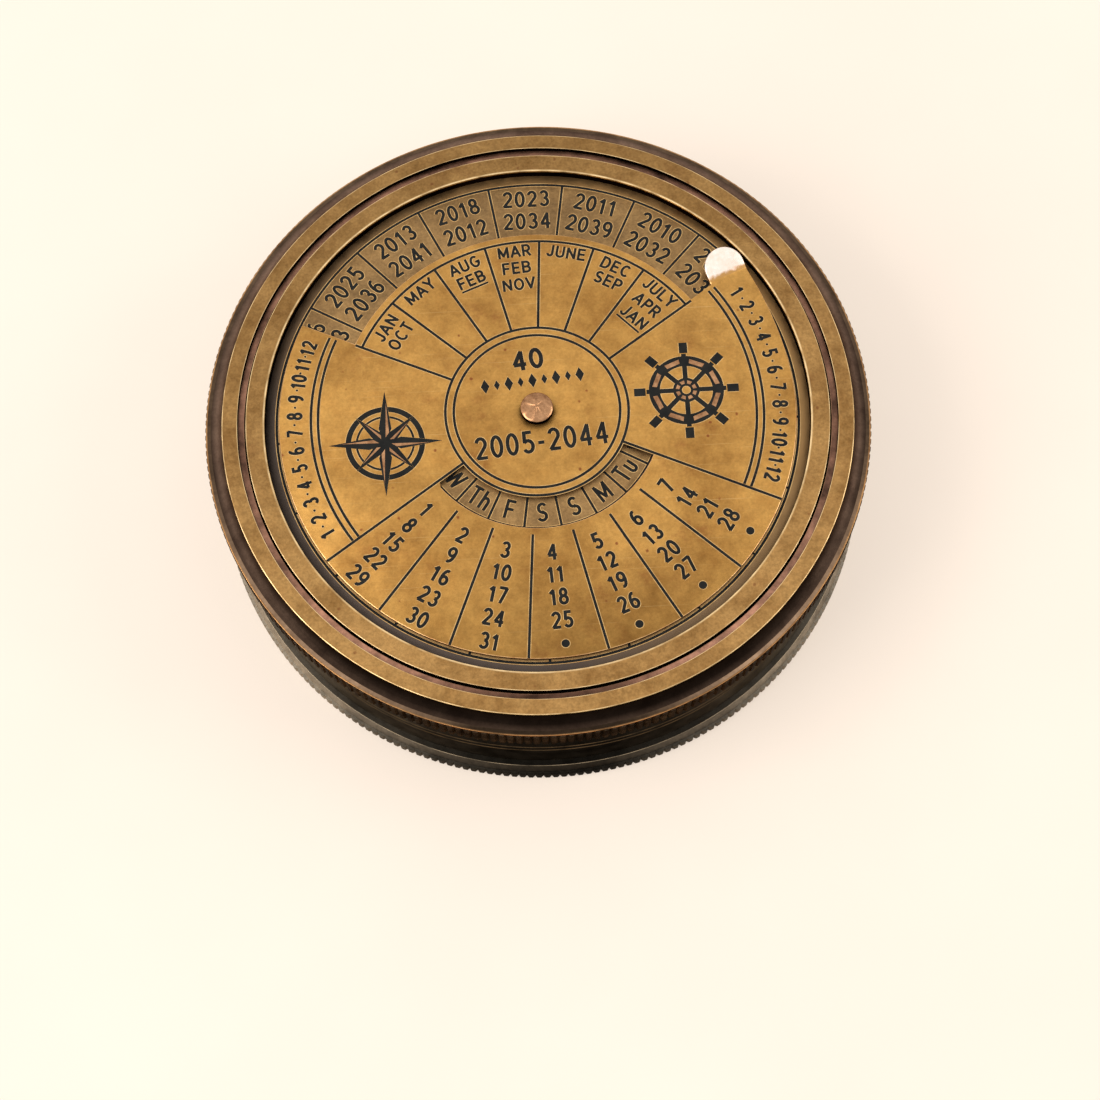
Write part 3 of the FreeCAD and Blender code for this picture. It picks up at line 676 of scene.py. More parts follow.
@dataclass
class Turning:
    """Piece turned from a closed half profile, its corners broken, bright from rubbing and given a
    painted highlight.

    A broken corner takes at most reach_share of each side of the profile, its
    middle lies sink of that inside the corner, and the bright metal of rubbing and painted highlight ends
    reach_margin times as far out, at most margin_share of each side.
    """

    name: str
    cuts: list[Cut]
    steps: int = 288
    reach_share: float = 0.3
    margin_share: float = 0.45
    reach_margin: float = 2.2
    sink: float = 0.3

    def build(self) -> bpy.types.Object:
        """Build the piece.

        Returns:
            The piece, with one material for each finish of its profile.
        """
        finishes = list(dict.fromkeys(cut.finish for cut in self.cuts))
        outline = self.broken_outline()
        work = bmesh.new()
        rub_and_highlight = work.verts.layers.float.new("rub_and_highlight")
        rings: list[list[bmesh.types.BMVert]] = []
        for radius, height, rub_and_highlight_share, _ in outline:
            count = 1 if radius < TINY else self.steps
            ring = []
            for step in range(count):
                x, y = polar(radius, -360.0 * step / self.steps)
                vert = work.verts.new((x * MM, y * MM, height * MM))
                vert[rub_and_highlight] = rub_and_highlight_share
                ring.append(vert)
            rings.append(ring)
        for number, ring in enumerate(rings):
            following = rings[(number + 1) % len(rings)]
            slot = finishes.index(outline[number][3])
            self.skin(work, ring, following, slot)
        work.normal_update()
        piece = new_object(self.name, finished_mesh(work, self.name))
        dress(piece, *finishes)
        return piece

    def skin(self, work: bmesh.types.BMesh, ring: list[bmesh.types.BMVert],
             following: list[bmesh.types.BMVert], slot: int) -> None:
        """Close the band between two rings.

        Args:
            work: The working mesh.
            ring: One ring, or a single point on the axis.
            following: The next ring, or a single point.
            slot: Material slot of the band.
        """
        if len(ring) == 1 and len(following) == 1:
            return
        for step in range(self.steps):
            after = (step + 1) % self.steps
            corners = [
                ring[step % len(ring)], ring[after % len(ring)],
                following[after % len(following)], following[step % len(following)],
            ]
            face = work.faces.new(list(dict.fromkeys(corners)))
            face.material_index = slot

    def broken_outline(self) -> list[tuple[float, float, float, Finish]]:
        """Profile with a small round on each corner off the axis.

        Returns:
            Radius, height, share of rubbing and painted highlight, and finish of each point.
        """
        outline: list[tuple[float, float, float, Finish]] = []
        count = len(self.cuts)
        for number, cut in enumerate(self.cuts):
            before, after = self.cuts[number - 1], self.cuts[(number + 1) % count]
            here = Vector((cut.radius, cut.height))
            back = Vector((before.radius, before.height)) - here
            ahead = Vector((after.radius, after.height)) - here
            shorter = min(back.length, ahead.length)
            if cut.radius < TINY or cut.edge <= 0.0 or shorter < TINY:
                outline.append((cut.radius, cut.height, 0.0, cut.finish))
                continue
            reach = min(cut.edge, shorter * self.reach_share)
            margin = min(reach * self.reach_margin, shorter * self.margin_share)
            # Convex corners are bright from rubbing and carry a painted highlight.
            convex = 1.0 if back.x * ahead.y - back.y * ahead.x < 0.0 else 0.0
            rounding = here + (back.normalized() + ahead.normalized()) * reach * self.sink
            stations = [
                (here + back.normalized() * margin, 0.0, before.finish),
                (here + back.normalized() * reach, convex, before.finish),
                (rounding, convex, cut.finish),
                (here + ahead.normalized() * reach, convex, cut.finish),
                (here + ahead.normalized() * margin, 0.0, cut.finish),
            ]
            outline.extend((spot.x, spot.y, rub_and_highlight_share, finish) for spot, rub_and_highlight_share, finish in stations)
        return outline


def arc_cuts(start: Point, end: Point, radius: float, finish: Finish, count: int = 10) -> list[Cut]:
    """Cuts along a hollow arc from start towards end, without its ends.

    Args:
        start: Radius and height where the arc starts.
        end: Radius and height where it ends.
        radius: Radius of the arc, its centre on the right of the way.
        finish: Finish of the arc.
        count: Number of parts.

    Returns:
        The cuts between the ends.
    """
    first, last = Vector(start), Vector(end)
    chord = last - first
    across = Vector((chord.y, -chord.x)).normalized()
    depth = math.sqrt(radius ** 2 - (chord.length / 2) ** 2)
    centre = (first + last) / 2 + across * depth
    from_angle = math.atan2(first.y - centre.y, first.x - centre.x)
    to_angle = math.atan2(last.y - centre.y, last.x - centre.x)
    turn = (to_angle - from_angle + math.pi) % (2 * math.pi) - math.pi
    cuts = []
    for step in range(1, count):
        angle = from_angle + turn * step / count
        cuts.append(Cut(centre.x + radius * math.cos(angle), centre.y + radius * math.sin(angle),
                        finish, 0.0))
    return cuts


def softened_copy(node: str, name: str, edge: float) -> bpy.types.Object:
    """Merged copy of a node's mesh with its sharp edges broken.

    Args:
        node: Node to copy.
        name: Name of the new piece.
        edge: Width of the broken edge.

    Returns:
        The piece, its modifier applied.
    """
    same_face, sharp, shaded = (math.radians(bend) for bend in (0.5, 40.0, 50.0))
    level_face = 0.999
    work = bmesh.new()
    work.from_mesh(frame["nodes"][node].data)
    bmesh.ops.remove_doubles(work, verts=work.verts, dist=TINY * 0.1)
    bmesh.ops.dissolve_limit(work, angle_limit=same_face, verts=work.verts, edges=work.edges)
    piece = new_object(name, finished_mesh(work, name, 0.0))
    bevel = piece.modifiers.new("edge", "BEVEL")
    bevel.width = edge * MM
    bevel.segments = 2
    bevel.limit_method = "ANGLE"
    bevel.angle_limit = sharp
    bake(piece)
    for face in piece.data.polygons:
        face.use_smooth = abs(face.normal.z) < level_face
    piece.data.set_sharp_from_angle(angle=shaded)
    return piece


def bake(piece: bpy.types.Object) -> None:
    """Turn a piece's modifiers into a plain mesh."""
    graph = bpy.context.evaluated_depsgraph_get()
    graph.update()
    mesh = bpy.data.meshes.new_from_object(piece.evaluated_get(graph))
    piece.modifiers.clear()
    piece.data = mesh


# Rings of repeated marks


class MarkShape(Enum):
    """What stands at each place of a ring."""

    BAR = "GeometryNodeMeshCube"
    RIDGE = "GeometryNodeMeshCylinder"


RIDGE_SIDES = 6
RIDGE_FLAT = math.cos(math.pi / RIDGE_SIDES)


@dataclass
class MarkRing:
    """Equal marks on a circle, made by one Geometry Nodes tree.

    A bar lies along the radius. A ridge is an upright tooth of six-sided
    section, one flat outwards, as straight knurling leaves it.
    """

    name: str
    shape: MarkShape
    finish: Finish
    count: int
    radius: float
    length: float
    width: float
    thickness: float
    height: float
    first: float = 0.0
    step: float = 0.0

    def build(self) -> bpy.types.Object:
        """Build the ring as a plain mesh.

        Returns:
            The piece.
        """
        tree = self.tree()
        piece = new_object(self.name, bpy.data.meshes.new(self.name))
        modifier = piece.modifiers.new("marks", "NODES")
        modifier.node_group = tree
        step = self.step if self.step else 360.0 / self.count
        values = {
            "Count": self.count,
            "Radius": self.radius * MM,
            "Length": self.length * MM,
            "Width": self.width * MM,
            "Thickness": self.thickness * MM,
            "Height": self.height * MM,
            "First": math.radians(self.first),
            "Step": math.radians(step),
        }
        for item in tree.interface.items_tree:
            if item.in_out == "INPUT" and item.name in values:
                modifier[item.identifier] = values[item.name]
        bake(piece)
        return piece

    def tree(self) -> bpy.types.NodeTree:
        """Build the node tree with named inputs."""
        tree = bpy.data.node_groups.new(f"{self.name}_marks", "GeometryNodeTree")
        tree.interface.new_socket("Geometry", in_out="OUTPUT", socket_type="NodeSocketGeometry")
        tree.interface.new_socket("Count", in_out="INPUT", socket_type="NodeSocketInt")
        for name in ("Radius", "Length", "Width", "Thickness", "Height", "First", "Step"):
            tree.interface.new_socket(name, in_out="INPUT", socket_type="NodeSocketFloat")
        add, join = tree.nodes.new, tree.links.new
        given = add("NodeGroupInput").outputs
        points = add("GeometryNodePoints")
        join(given["Count"], points.inputs["Count"])

        def rule(operation: str, *values: object) -> bpy.types.NodeSocket:
            """Math node on sockets or numbers."""
            node = add("ShaderNodeMath")
            node.operation = operation
            for socket, value in zip(node.inputs, values):
                if isinstance(value, bpy.types.NodeSocket):
                    join(value, socket)
                else:
                    socket.default_value = value
            return node.outputs[0]

        index = add("GeometryNodeInputIndex").outputs[0]
        angle = rule("MULTIPLY_ADD", index, given["Step"], given["First"])
        spot = add("ShaderNodeCombineXYZ")
        join(rule("MULTIPLY", rule("SINE", angle), given["Radius"]), spot.inputs["X"])
        join(rule("MULTIPLY", rule("COSINE", angle), given["Radius"]), spot.inputs["Y"])
        join(given["Height"], spot.inputs["Z"])
        placed = add("GeometryNodeSetPosition")
        join(points.outputs[0], placed.inputs["Geometry"])
        join(spot.outputs[0], placed.inputs["Position"])
        mark = add(self.shape.value)
        size = add("ShaderNodeCombineXYZ")
        join(given["Width"], size.inputs["X"])
        join(given["Length"], size.inputs["Y"])
        join(given["Thickness"], size.inputs["Z"])
        instances = add("GeometryNodeInstanceOnPoints")
        if self.shape is MarkShape.BAR:
            join(size.outputs[0], mark.inputs["Size"])
        else:
            mark.inputs["Vertices"].default_value = RIDGE_SIDES
            mark.inputs["Radius"].default_value = 0.5
            mark.inputs["Depth"].default_value = 1.0
            join(size.outputs[0], instances.inputs["Scale"])
        join(placed.outputs[0], instances.inputs["Points"])
        join(mark.outputs["Mesh"], instances.inputs["Instance"])
        turn = add("ShaderNodeCombineXYZ")
        join(rule("MULTIPLY", angle, -1.0), turn.inputs["Z"])
        euler = add("FunctionNodeEulerToRotation")
        join(turn.outputs[0], euler.inputs[0])
        join(euler.outputs[0], instances.inputs["Rotation"])
        real = add("GeometryNodeRealizeInstances")
        join(instances.outputs[0], real.inputs[0])
        painted = add("GeometryNodeSetMaterial")
        painted.inputs["Material"].default_value = self.finish.material
        join(real.outputs[0], painted.inputs["Geometry"])
        join(painted.outputs[0], add("NodeGroupOutput").inputs["Geometry"])
        return tree


# Engraver's lettering


def arc(x: float, y: float, wide: float, high: float, start: float, end: float) -> list[Point]:
    """Points of an elliptical stroke from one angle to another, in degrees."""
    count = max(4, int(abs(end - start) / 18.0))
    angles = [math.radians(start + (end - start) * step / count) for step in range(count + 1)]
    return [(x + wide * math.cos(angle), y + high * math.sin(angle)) for angle in angles]


def oval(x: float, y: float, wide: float, high: float) -> list[Point]:
    """Points of a closed oval stroke."""
    return arc(x, y, wide, high, 90.0, 450.0)


# Strokes of each sign and its width, on a capital height of 1.
SIGNS: dict[str, tuple[float, list[list[Point]]]] = {
    "0": (0.54, [oval(0.27, 0.5, 0.2, 0.43)]),
    "1": (0.42, [[(0.07, 0.7), (0.26, 0.9), (0.26, 0.0)]]),
    "2": (0.54, [arc(0.27, 0.69, 0.19, 0.24, 165, -38) + [(0.08, 0.07), (0.5, 0.07)]]),
    "3": (0.54, [arc(0.26, 0.72, 0.17, 0.21, 155, -90), arc(0.26, 0.29, 0.2, 0.22, 90, -155)]),
    "4": (0.56, [[(0.39, 0.0), (0.39, 0.93), (0.07, 0.29)], [(0.05, 0.29), (0.54, 0.29)]]),
    "5": (0.54, [[(0.46, 0.93), (0.15, 0.93)] + arc(0.27, 0.32, 0.2, 0.25, 135, -150)]),
    "6": (0.54, [oval(0.28, 0.31, 0.19, 0.24), arc(0.31, 0.44, 0.22, 0.49, 72, 190)]),
    "7": (0.52, [[(0.04, 0.93), (0.47, 0.93), (0.2, 0.0)]]),
    "8": (0.54, [oval(0.27, 0.72, 0.16, 0.21), oval(0.27, 0.29, 0.2, 0.22)]),
    "9": (0.54, [oval(0.26, 0.69, 0.19, 0.24), arc(0.23, 0.56, 0.22, 0.49, -108, 10)]),
    "-": (0.34, [[(0.04, 0.42), (0.3, 0.42)]]),
    "A": (0.6, [[(0.03, 0.0), (0.3, 0.95), (0.57, 0.0)], [(0.13, 0.32), (0.47, 0.32)]]),
    "B": (0.54, [[(0.07, 0.51), (0.07, 0.93)] + arc(0.28, 0.72, 0.17, 0.21, 90, -90),
                 [(0.07, 0.51), (0.07, 0.07)] + arc(0.29, 0.29, 0.19, 0.22, -90, 90),
                 [(0.07, 0.51), (0.3, 0.51)]]),
    "C": (0.58, [arc(0.32, 0.5, 0.24, 0.43, 48, 312)]),
    "D": (0.58, [[(0.07, 0.93), (0.07, 0.07)] + arc(0.26, 0.5, 0.25, 0.43, -90, 90) + [(0.07, 0.93)]]),
    "E": (0.5, [[(0.47, 0.93), (0.07, 0.93), (0.07, 0.07), (0.48, 0.07)], [(0.07, 0.51), (0.44, 0.51)]]),
    "F": (0.48, [[(0.46, 0.93), (0.07, 0.93), (0.07, 0.0)], [(0.07, 0.5), (0.42, 0.5)]]),
    "G": (0.62, [arc(0.32, 0.5, 0.24, 0.43, 50, 345) + [(0.55, 0.46), (0.34, 0.46)]]),
    "J": (0.44, [[(0.36, 1.0), (0.36, 0.3)] + arc(0.21, 0.28, 0.15, 0.21, 0, -170)]),
    "L": (0.46, [[(0.07, 1.0), (0.07, 0.07), (0.46, 0.07)]]),
    "M": (0.68, [[(0.07, 0.0), (0.07, 0.92), (0.34, 0.16), (0.61, 0.92), (0.61, 0.0)]]),
    "N": (0.58, [[(0.07, 0.0), (0.07, 0.92), (0.51, 0.08), (0.51, 1.0)]]),
    "O": (0.64, [oval(0.32, 0.5, 0.25, 0.43)]),
    "P": (0.52, [[(0.07, 0.0), (0.07, 0.93)] + arc(0.28, 0.69, 0.18, 0.24, 90, -90),
                 [(0.07, 0.45), (0.3, 0.45)]]),
    "R": (0.54, [[(0.07, 0.0), (0.07, 0.93)] + arc(0.28, 0.69, 0.18, 0.24, 90, -90),
                 [(0.07, 0.45), (0.3, 0.45)], [(0.27, 0.45), (0.49, 0.0)]]),
    "S": (0.54, [arc(0.27, 0.71, 0.18, 0.22, 35, 270) + arc(0.27, 0.28, 0.2, 0.21, 90, -150)]),
    "T": (0.52, [[(0.02, 0.93), (0.5, 0.93)], [(0.26, 0.93), (0.26, 0.0)]]),
    "U": (0.56, [[(0.07, 1.0), (0.07, 0.3)] + arc(0.28, 0.29, 0.21, 0.22, 180, 360) + [(0.49, 1.0)]]),
    "V": (0.56, [[(0.02, 1.0), (0.28, 0.06), (0.54, 1.0)]]),
    "W": (0.76, [[(0.02, 1.0), (0.2, 0.06), (0.38, 0.92), (0.56, 0.06), (0.74, 1.0)]]),
    "Y": (0.56, [[(0.02, 1.0), (0.28, 0.48), (0.54, 1.0)], [(0.28, 0.48), (0.28, 0.0)]]),
    "h": (0.44, [[(0.07, 0.0), (0.07, 1.0)], arc(0.22, 0.44, 0.15, 0.2, 180, 0) + [(0.37, 0.0)]]),
    "u": (0.44, [[(0.07, 0.7), (0.07, 0.24)] + arc(0.22, 0.22, 0.15, 0.16, 180, 360) + [(0.37, 0.7)]]),
}


@dataclass
class Etching:
    """Flat black-filled marks on a face: letters, lines, arcs and shapes.

    Each mark is a thin closed plate that lies on the face, over a slightly
    wider plate of light brass, a painted highlight on the etching's broken edge.
    """

    name: str
    level: float
    turn: float = 0.0
    fill_height: float = 0.012
    rim_height: float = 0.006
    rim_width: float = 0.07
    glint_height: float = 0.02
    root: float = 0.01
    level_step: float = 0.0002
    levels: int = 25
    sharp_bend: float = math.radians(100.0)
    overlap: float = 0.15
    mitre: float = 0.6
    sign_gap: float = 0.13
    underline_level: float = -0.24
    underline_weight: float = 0.8
    fills: list[list[Point]] = field(default_factory=list)
    glints: list[list[Point]] = field(default_factory=list)
    strips: list[tuple[list[Point], float, bool]] = field(default_factory=list)
    rings: list[tuple[list[Point], float, bool]] = field(default_factory=list)

    def stroke(self, points: Sequence[Point], width: float, closed: bool = False) -> None:
        """Add a line through points on the face, as two lines that overlap at a sharp bend.

        Args:
            points: Middle line.
            width: Width of the line.
            closed: True for a ring, which has no sharp bend.
        """
        part = [points[0]]
        for before, spot, after in zip(points, points[1:], points[2:]):
            ahead = Vector(after) - Vector(spot)
            way = Vector(spot) - Vector(before)
            if closed or way.angle(ahead, 0.0) < self.sharp_bend:
                part.append(spot)
                continue
            over = width * self.overlap
            self.strips.append(([*part, tuple(Vector(spot) + way.normalized() * over)], width, False))
            part = [tuple(Vector(spot) - ahead.normalized() * over)]
        self.strips.append(([*part, points[-1]], width, closed))

    def shape(self, points: Sequence[Point]) -> None:
        """Add a filled convex shape."""
        self.fills.append(list(points))

    def glint(self, points: Sequence[Point]) -> None:
        """Add a convex patch of copper that lies on the black."""
        self.glints.append(list(points))

    def ring(self, radius: float, width: float, start: float = 0.0, end: float = 360.0) -> None:
        """Add an arc about the centre, angles clockwise from the far side.

        Args:
            radius: Radius of the arc.
            width: Width of the line.
            start: First angle.
            end: Last angle.
        """
        whole = abs(end - start) >= 360.0
        count = max(4, int(abs(end - start) / 2.0))
        points = [polar(radius, start + (end - start) * step / count)
                  for step in range(count + (0 if whole else 1))]
        self.rings.append((points, width, whole))

    def ray(self, angle: float, inner: float, outer: float, width: float) -> None:
        """Add a straight line along the radius at an angle."""
        self.stroke([polar(inner, angle), polar(outer, angle)], width)

    def word(self, text: str, radius: float, angle: float, capital: float, weight: float = 0.15,
             narrow: float = 1.0, inwards: bool = False, underline: bool = False) -> None:
        """Add a straight word across a radius.

        Args:
            text: The signs.
            radius: Radius of the word's middle.
            angle: Its angle, clockwise from the far side.
            capital: Height of a capital.
            weight: Width of a stroke as a share of the capital.
            narrow: Scale of the word's width.
            inwards: True to stand the signs with their feet outwards.
            underline: True for a line under the word.
        """
        wide = sum(SIGNS[sign][0] + self.sign_gap for sign in text) - self.sign_gap
        along = Vector(polar(1.0, angle + 90.0))
        up = Vector(polar(1.0, angle))
        if inwards:
            along, up = -along, -up
        middle = Vector(polar(radius, angle))
        pen = -wide / 2

        def spot(x: float, y: float) -> Point:
            """Place on the face of a place in the word."""
            return tuple(middle + along * x * capital * narrow + up * (y - 0.5) * capital)

        for sign in text:
            width, strokes = SIGNS[sign]
            for points in strokes:
                closed = len(points) > 8 and math.dist(points[0], points[-1]) < TINY
                chain = points[:-1] if closed else points
                self.stroke([spot(pen + x, y) for x, y in chain], weight * capital, closed)
            pen += width + self.sign_gap
        if underline:
            ends = [spot(-wide / 2, self.underline_level), spot(wide / 2, self.underline_level)]
            self.stroke(ends, weight * capital * self.underline_weight)

    def build(self) -> bpy.types.Object:
        """Build the piece: the black fill and the painted highlight of its edge under it."""
        work = bmesh.new()
        for grow, top, slot in ((0.0, self.fill_height, 0), (self.rim_width, self.rim_height, 1)):
            for number, (points, width, closed) in enumerate(self.strips):
                self.lay_strip(work, points, width / 2 + grow, closed, top - self.drop(number), slot)
            for points, width, closed in self.rings:
                self.lay_strip(work, points, width / 2 + grow, closed, top + self.drop(1), slot)
            for number, points in enumerate(self.fills):
                self.lay_plate(work, self.grown(points, grow), top + self.drop(number + 2), slot)
        for points in self.glints:
            self.lay_plate(work, points, self.glint_height, 2)
        turned = Matrix.Rotation(math.radians(self.turn), 4, "Z")
        bmesh.ops.transform(work, matrix=turned, verts=work.verts)
        piece = new_object(self.name, finished_mesh(work, self.name, 0.0))
        dress(piece, Finish.ETCH, Finish.ETCH_RIM, Finish.COPPER)
        return piece

    def drop(self, number: int) -> float:
        """Small step that keeps crossing marks from sharing one level."""
        return self.level_step * (number % self.levels)

    def grown(self, points: Sequence[Point], grow: float) -> list[Point]:
        """Shape moved outwards from its middle by a width."""
        middle = sum((Vector(point) for point in points), Vector((0.0, 0.0))) / len(points)
        return [tuple(Vector(point) + (Vector(point) - middle).normalized() * grow) for point in points]

    def lay_plate(self, work: bmesh.types.BMesh, points: Sequence[Point], top: float, slot: int) -> None:
        """Lay a thin closed plate on the face.

        Args:
            work: The working mesh.
            points: Its outline.
            top: Height of its top over the face.
            slot: Material slot.
        """
        area = sum(a[0] * b[1] - b[0] * a[1] for a, b in zip(points, [*points[1:], points[0]]))
        ordered = list(points) if area > 0 else list(reversed(points))
        rings = []
        for height in (self.level - self.root, self.level + top):
            rings.append([work.verts.new((x * MM, y * MM, height * MM)) for x, y in ordered])
        faces = [work.faces.new(list(reversed(rings[0]))), work.faces.new(rings[1])]
        for number in range(len(ordered)):
            after = (number + 1) % len(ordered)
            faces.append(work.faces.new((rings[0][number], rings[0][after],
                                         rings[1][after], rings[1][number])))
        for face in faces:
            face.material_index = slot

    def disc(self, middle: Point, radius: float, sides: int = 16) -> None:
        """Add a filled round spot."""
        turns = (math.tau * step / sides for step in range(sides))
        self.shape([(middle[0] + radius * math.cos(a), middle[1] + radius * math.sin(a)) for a in turns])

    def circle(self, middle: Point, radius: float, width: float, sides: int = 64) -> None:
        """Add a circle round any point of the face."""
        turns = (math.tau * step / sides for step in range(sides))
        self.stroke([(middle[0] + radius * math.cos(a), middle[1] + radius * math.sin(a)) for a in turns],
                    width, True)

    def lay_strip(self, work: bmesh.types.BMesh, points: Sequence[Point], half: float,
                  closed: bool, top: float, slot: int) -> None:
        """Lay a line on the face, mitred at its bends.

        Args:
            work: The working mesh.
            points: Middle line.
            half: Half of its width.
            closed: True for a ring.
            top: Height of its top over the face.
            slot: Material slot.
        """
        spots = [Vector(point) for point in points]
        count = len(spots)
        sides = []
        for number, spot in enumerate(spots):
            before = spots[number - 1] if closed or number else None
            after = spots[(number + 1) % count] if closed or number < count - 1 else None
            ways = [(spot - before).normalized()] if before is not None else []
            ways += [(after - spot).normalized()] if after is not None else []
            way = sum(ways, Vector((0.0, 0.0))).normalized()
            across = Vector((-way.y, way.x))
            bend = max(self.mitre, across.dot(Vector((-ways[0].y, ways[0].x))))
            sides.append((spot + across * half / bend, spot - across * half / bend))
        low, high = (self.level - self.root) * MM, (self.level + top) * MM
        loops = [[work.verts.new((place.x * MM, place.y * MM, z)) for place, z in
                  ((left, low), (right, low), (right, high), (left, high))] for left, right in sides]
        links = count if closed else count - 1
        faces = []
        for number in range(links):
            one, two = loops[number], loops[(number + 1) % count]
            for corner in range(4):
                after = (corner + 1) % 4
                faces.append(work.faces.new((one[corner], one[after], two[after], two[corner])))
        if not closed:
            faces.append(work.faces.new(list(reversed(loops[0]))))
            faces.append(work.faces.new(loops[-1]))
        for face in faces:
            face.material_index = slot


# Calendar


MONTH_COLUMNS: list[list[tuple[str, bool]]] = [
    [("JAN", False), ("OCT", False)],
    [("MAY", False)],
    [("AUG", False), ("FEB", True)],
    [("MAR", False), ("FEB", False), ("NOV", False)],
    [("JUNE", False)],
    [("DEC", False), ("SEP", False)],
    [("JULY", False), ("APR", False), ("JAN", True)],
]
WEEKDAYS = ("M", "Tu", "W", "Th", "F", "S", "S")
WEDNESDAY = 2
FIRST_YEAR, LAST_YEAR = 2005, 2044
COLUMNS = 21
PITCH = 360.0 / COLUMNS
SEEN_YEARS = {
    0: (2023, 2034), 1: (2011, 2039), 2: (2010, 2032), 3: (2009, 2037),
    -1: (2018, 2012), -2: (2013, 2041), -3: (2025, 2036), -4: (2026, 2043),
}


def year_columns() -> dict[int, tuple[int, ...]]:
    """Years of each column, by the weekday of their first of March.

    Returns:
        Column number, from the far side, to its years from the rim inwards.
    """
    columns = dict(SEEN_YEARS)
    used = {year for pair in SEEN_YEARS.values() for year in pair}
    spare: dict[int, list[int]] = {day: [] for day in range(7)}
    for year in range(FIRST_YEAR, LAST_YEAR + 1):
        if year not in used:
            spare[datetime.date(year, 3, 1).weekday()].append(year)
    for column in range(-COLUMNS // 2 + 1, COLUMNS // 2 + 1):
        if column not in columns:
            waiting = spare[(WEDNESDAY - column) % 7]
            columns[column] = tuple(waiting[:2])
            del waiting[:2]
    return columns


@dataclass
class CalendarDisc:
    """Turning disc with months, dates, side panels and the finger tab."""

    turn: float = 5.1
    line: float = 0.3
    sector: float = 60.0
    inner_ring: float = 9.35
    outer_ring: float = 10.3
    month_edge: float = 21.5
    edge: float = 29.05
    thickness: float = 0.5
    tab_level: float = 0.12
    steeper_than_tab: float = 0.925
    upright: float = 0.15
    month_drift: float = 0.4
    month_rows: tuple[tuple[float, ...], ...] = ((20.25,), (20.2, 18.2), (20.35, 18.2, 16.05))
    date_drift: float = 0.68
    date_rows: tuple[float, ...] = (17.0, 19.6, 22.2, 24.85, 27.55)
    date_foot: float = 14.9
    line_drift: float = 1.0
    sector_gap: float = 0.35
    sector_reach: float = 22.3
    panel_rings: Point = (24.65, 25.45)
    panel_spans: tuple[Point, ...] = ((61.0, 119.6), (240.4, 299.2))
    number_row: float = 27.3
    number_pitch: float = 4.5

    def build(self) -> None:
        """Build the sheet and its etching."""
        sheet = softened_copy("calendar_disc", "disc_sheet", 0.1)
        dress(sheet, Finish.DISC, Finish.DISC_EDGE, Finish.TAB, Finish.DISC_RUB)
        face_level = height_of("disc_washer") + self.thickness
        # The bent tab and the edge bevels take painted highlights; the cut edges take painted shade.
        for face in sheet.data.polygons:
            if face.center.z / MM > face_level + self.tab_level:
                face.material_index = 2
            elif face.normal.z < self.steeper_than_tab:
                face.material_index = 3 if face.normal.z > self.upright else 1
        settle(sheet, Body.DISC, ["calendar_disc"])
        etching = Etching("disc_etching", face_level, self.turn)
        self.lay_lines(etching)
        self.lay_months(etching)
        self.lay_dates(etching)
        self.lay_centre(etching)
        self.lay_panels(etching)
        settle(etching.build(), Body.DISC)

    def lay_lines(self, etching: Etching) -> None:
        """Lay the rings, the months' edge and the columns' lines."""
        etching.ring(self.inner_ring, self.line)
        etching.ring(self.outer_ring, self.line)
        etching.ring(self.month_edge, self.line, -self.sector, self.sector)
        for column in range(6):
            angle = PITCH * (column - 2.5)
            etching.ray(angle, self.outer_ring, self.month_edge, self.line)
            etching.ray(180.0 + self.line_drift + angle, self.date_foot, self.edge, self.line)
        for side in (-1, 1):
            cut = side * (self.sector + self.sector_gap)
            etching.ray(cut, self.outer_ring, self.sector_reach, self.line)
            etching.ray(180.0 + side * self.sector, self.outer_ring, self.edge, self.line)
        for radius in self.panel_rings:
            for span in self.panel_spans:
                etching.ring(radius, self.line, *span)

    def lay_months(self, etching: Etching) -> None:
        """Lay the months, leap months underlined."""
        for number, names in enumerate(MONTH_COLUMNS):
            angle = PITCH * (number - 3) + self.month_drift
            for radius, (name, leap) in zip(self.month_rows[len(names) - 1], names):
                etching.word(name, radius, angle, 1.5, 0.2, 1.22, underline=leap)

    def lay_dates(self, etching: Etching) -> None:
        """Lay the dates of a month, a dot where a column ends early."""
        for column in range(7):
            middle = 180.0 - PITCH * (column - 3)
            for row, radius in enumerate(self.date_rows):
                angle = middle + math.degrees(self.date_drift / radius)
                date = column + 1 + 7 * row
                if date <= 31:
                    etching.word(str(date), radius, angle, 1.9, 0.19, 1.0, inwards=True)
                else:
                    etching.disc(polar(radius, angle), 0.46)

    def lay_centre(self, etching: Etching) -> None:
        """Lay the years that the calendar spans, as plain numbers."""
        etching.word(str(LAST_YEAR - FIRST_YEAR + 1), 6.4, -2.0, 2.5, 0.19, 1.15)
        etching.word(f"{FIRST_YEAR}-{LAST_YEAR}", 3.75, 180.0, 2.75, 0.15, 0.95, inwards=True)
        for step in range(-4, 5):
            self.lozenge(etching, (1.35 * step, 3.7), 0.62 if step % 2 else 0.9)

    def lozenge(self, etching: Etching, middle: Point, size: float) -> None:
        """Lay a small upright lozenge."""
        x, y = middle
        wide = size * 0.55
        etching.shape([(x, y + size), (x - wide, y), (x, y - size), (x + wide, y)])

    def lay_panels(self, etching: Etching) -> None:
        """Lay numbers and an ornament on each side panel."""
        for middle in (90.0, 270.0):
            for number in range(12):
                angle = middle + (number - 5.5) * self.number_pitch
                etching.word(str(number + 1), self.number_row, angle, 1.75, 0.19, 0.9)
                if number:
                    etching.disc(polar(self.number_row, angle - self.number_pitch / 2), 0.14, 8)
        self.lay_star(etching, polar(17.4, 270.0 - self.turn))
        self.lay_wheel(etching, polar(17.0, 90.0))

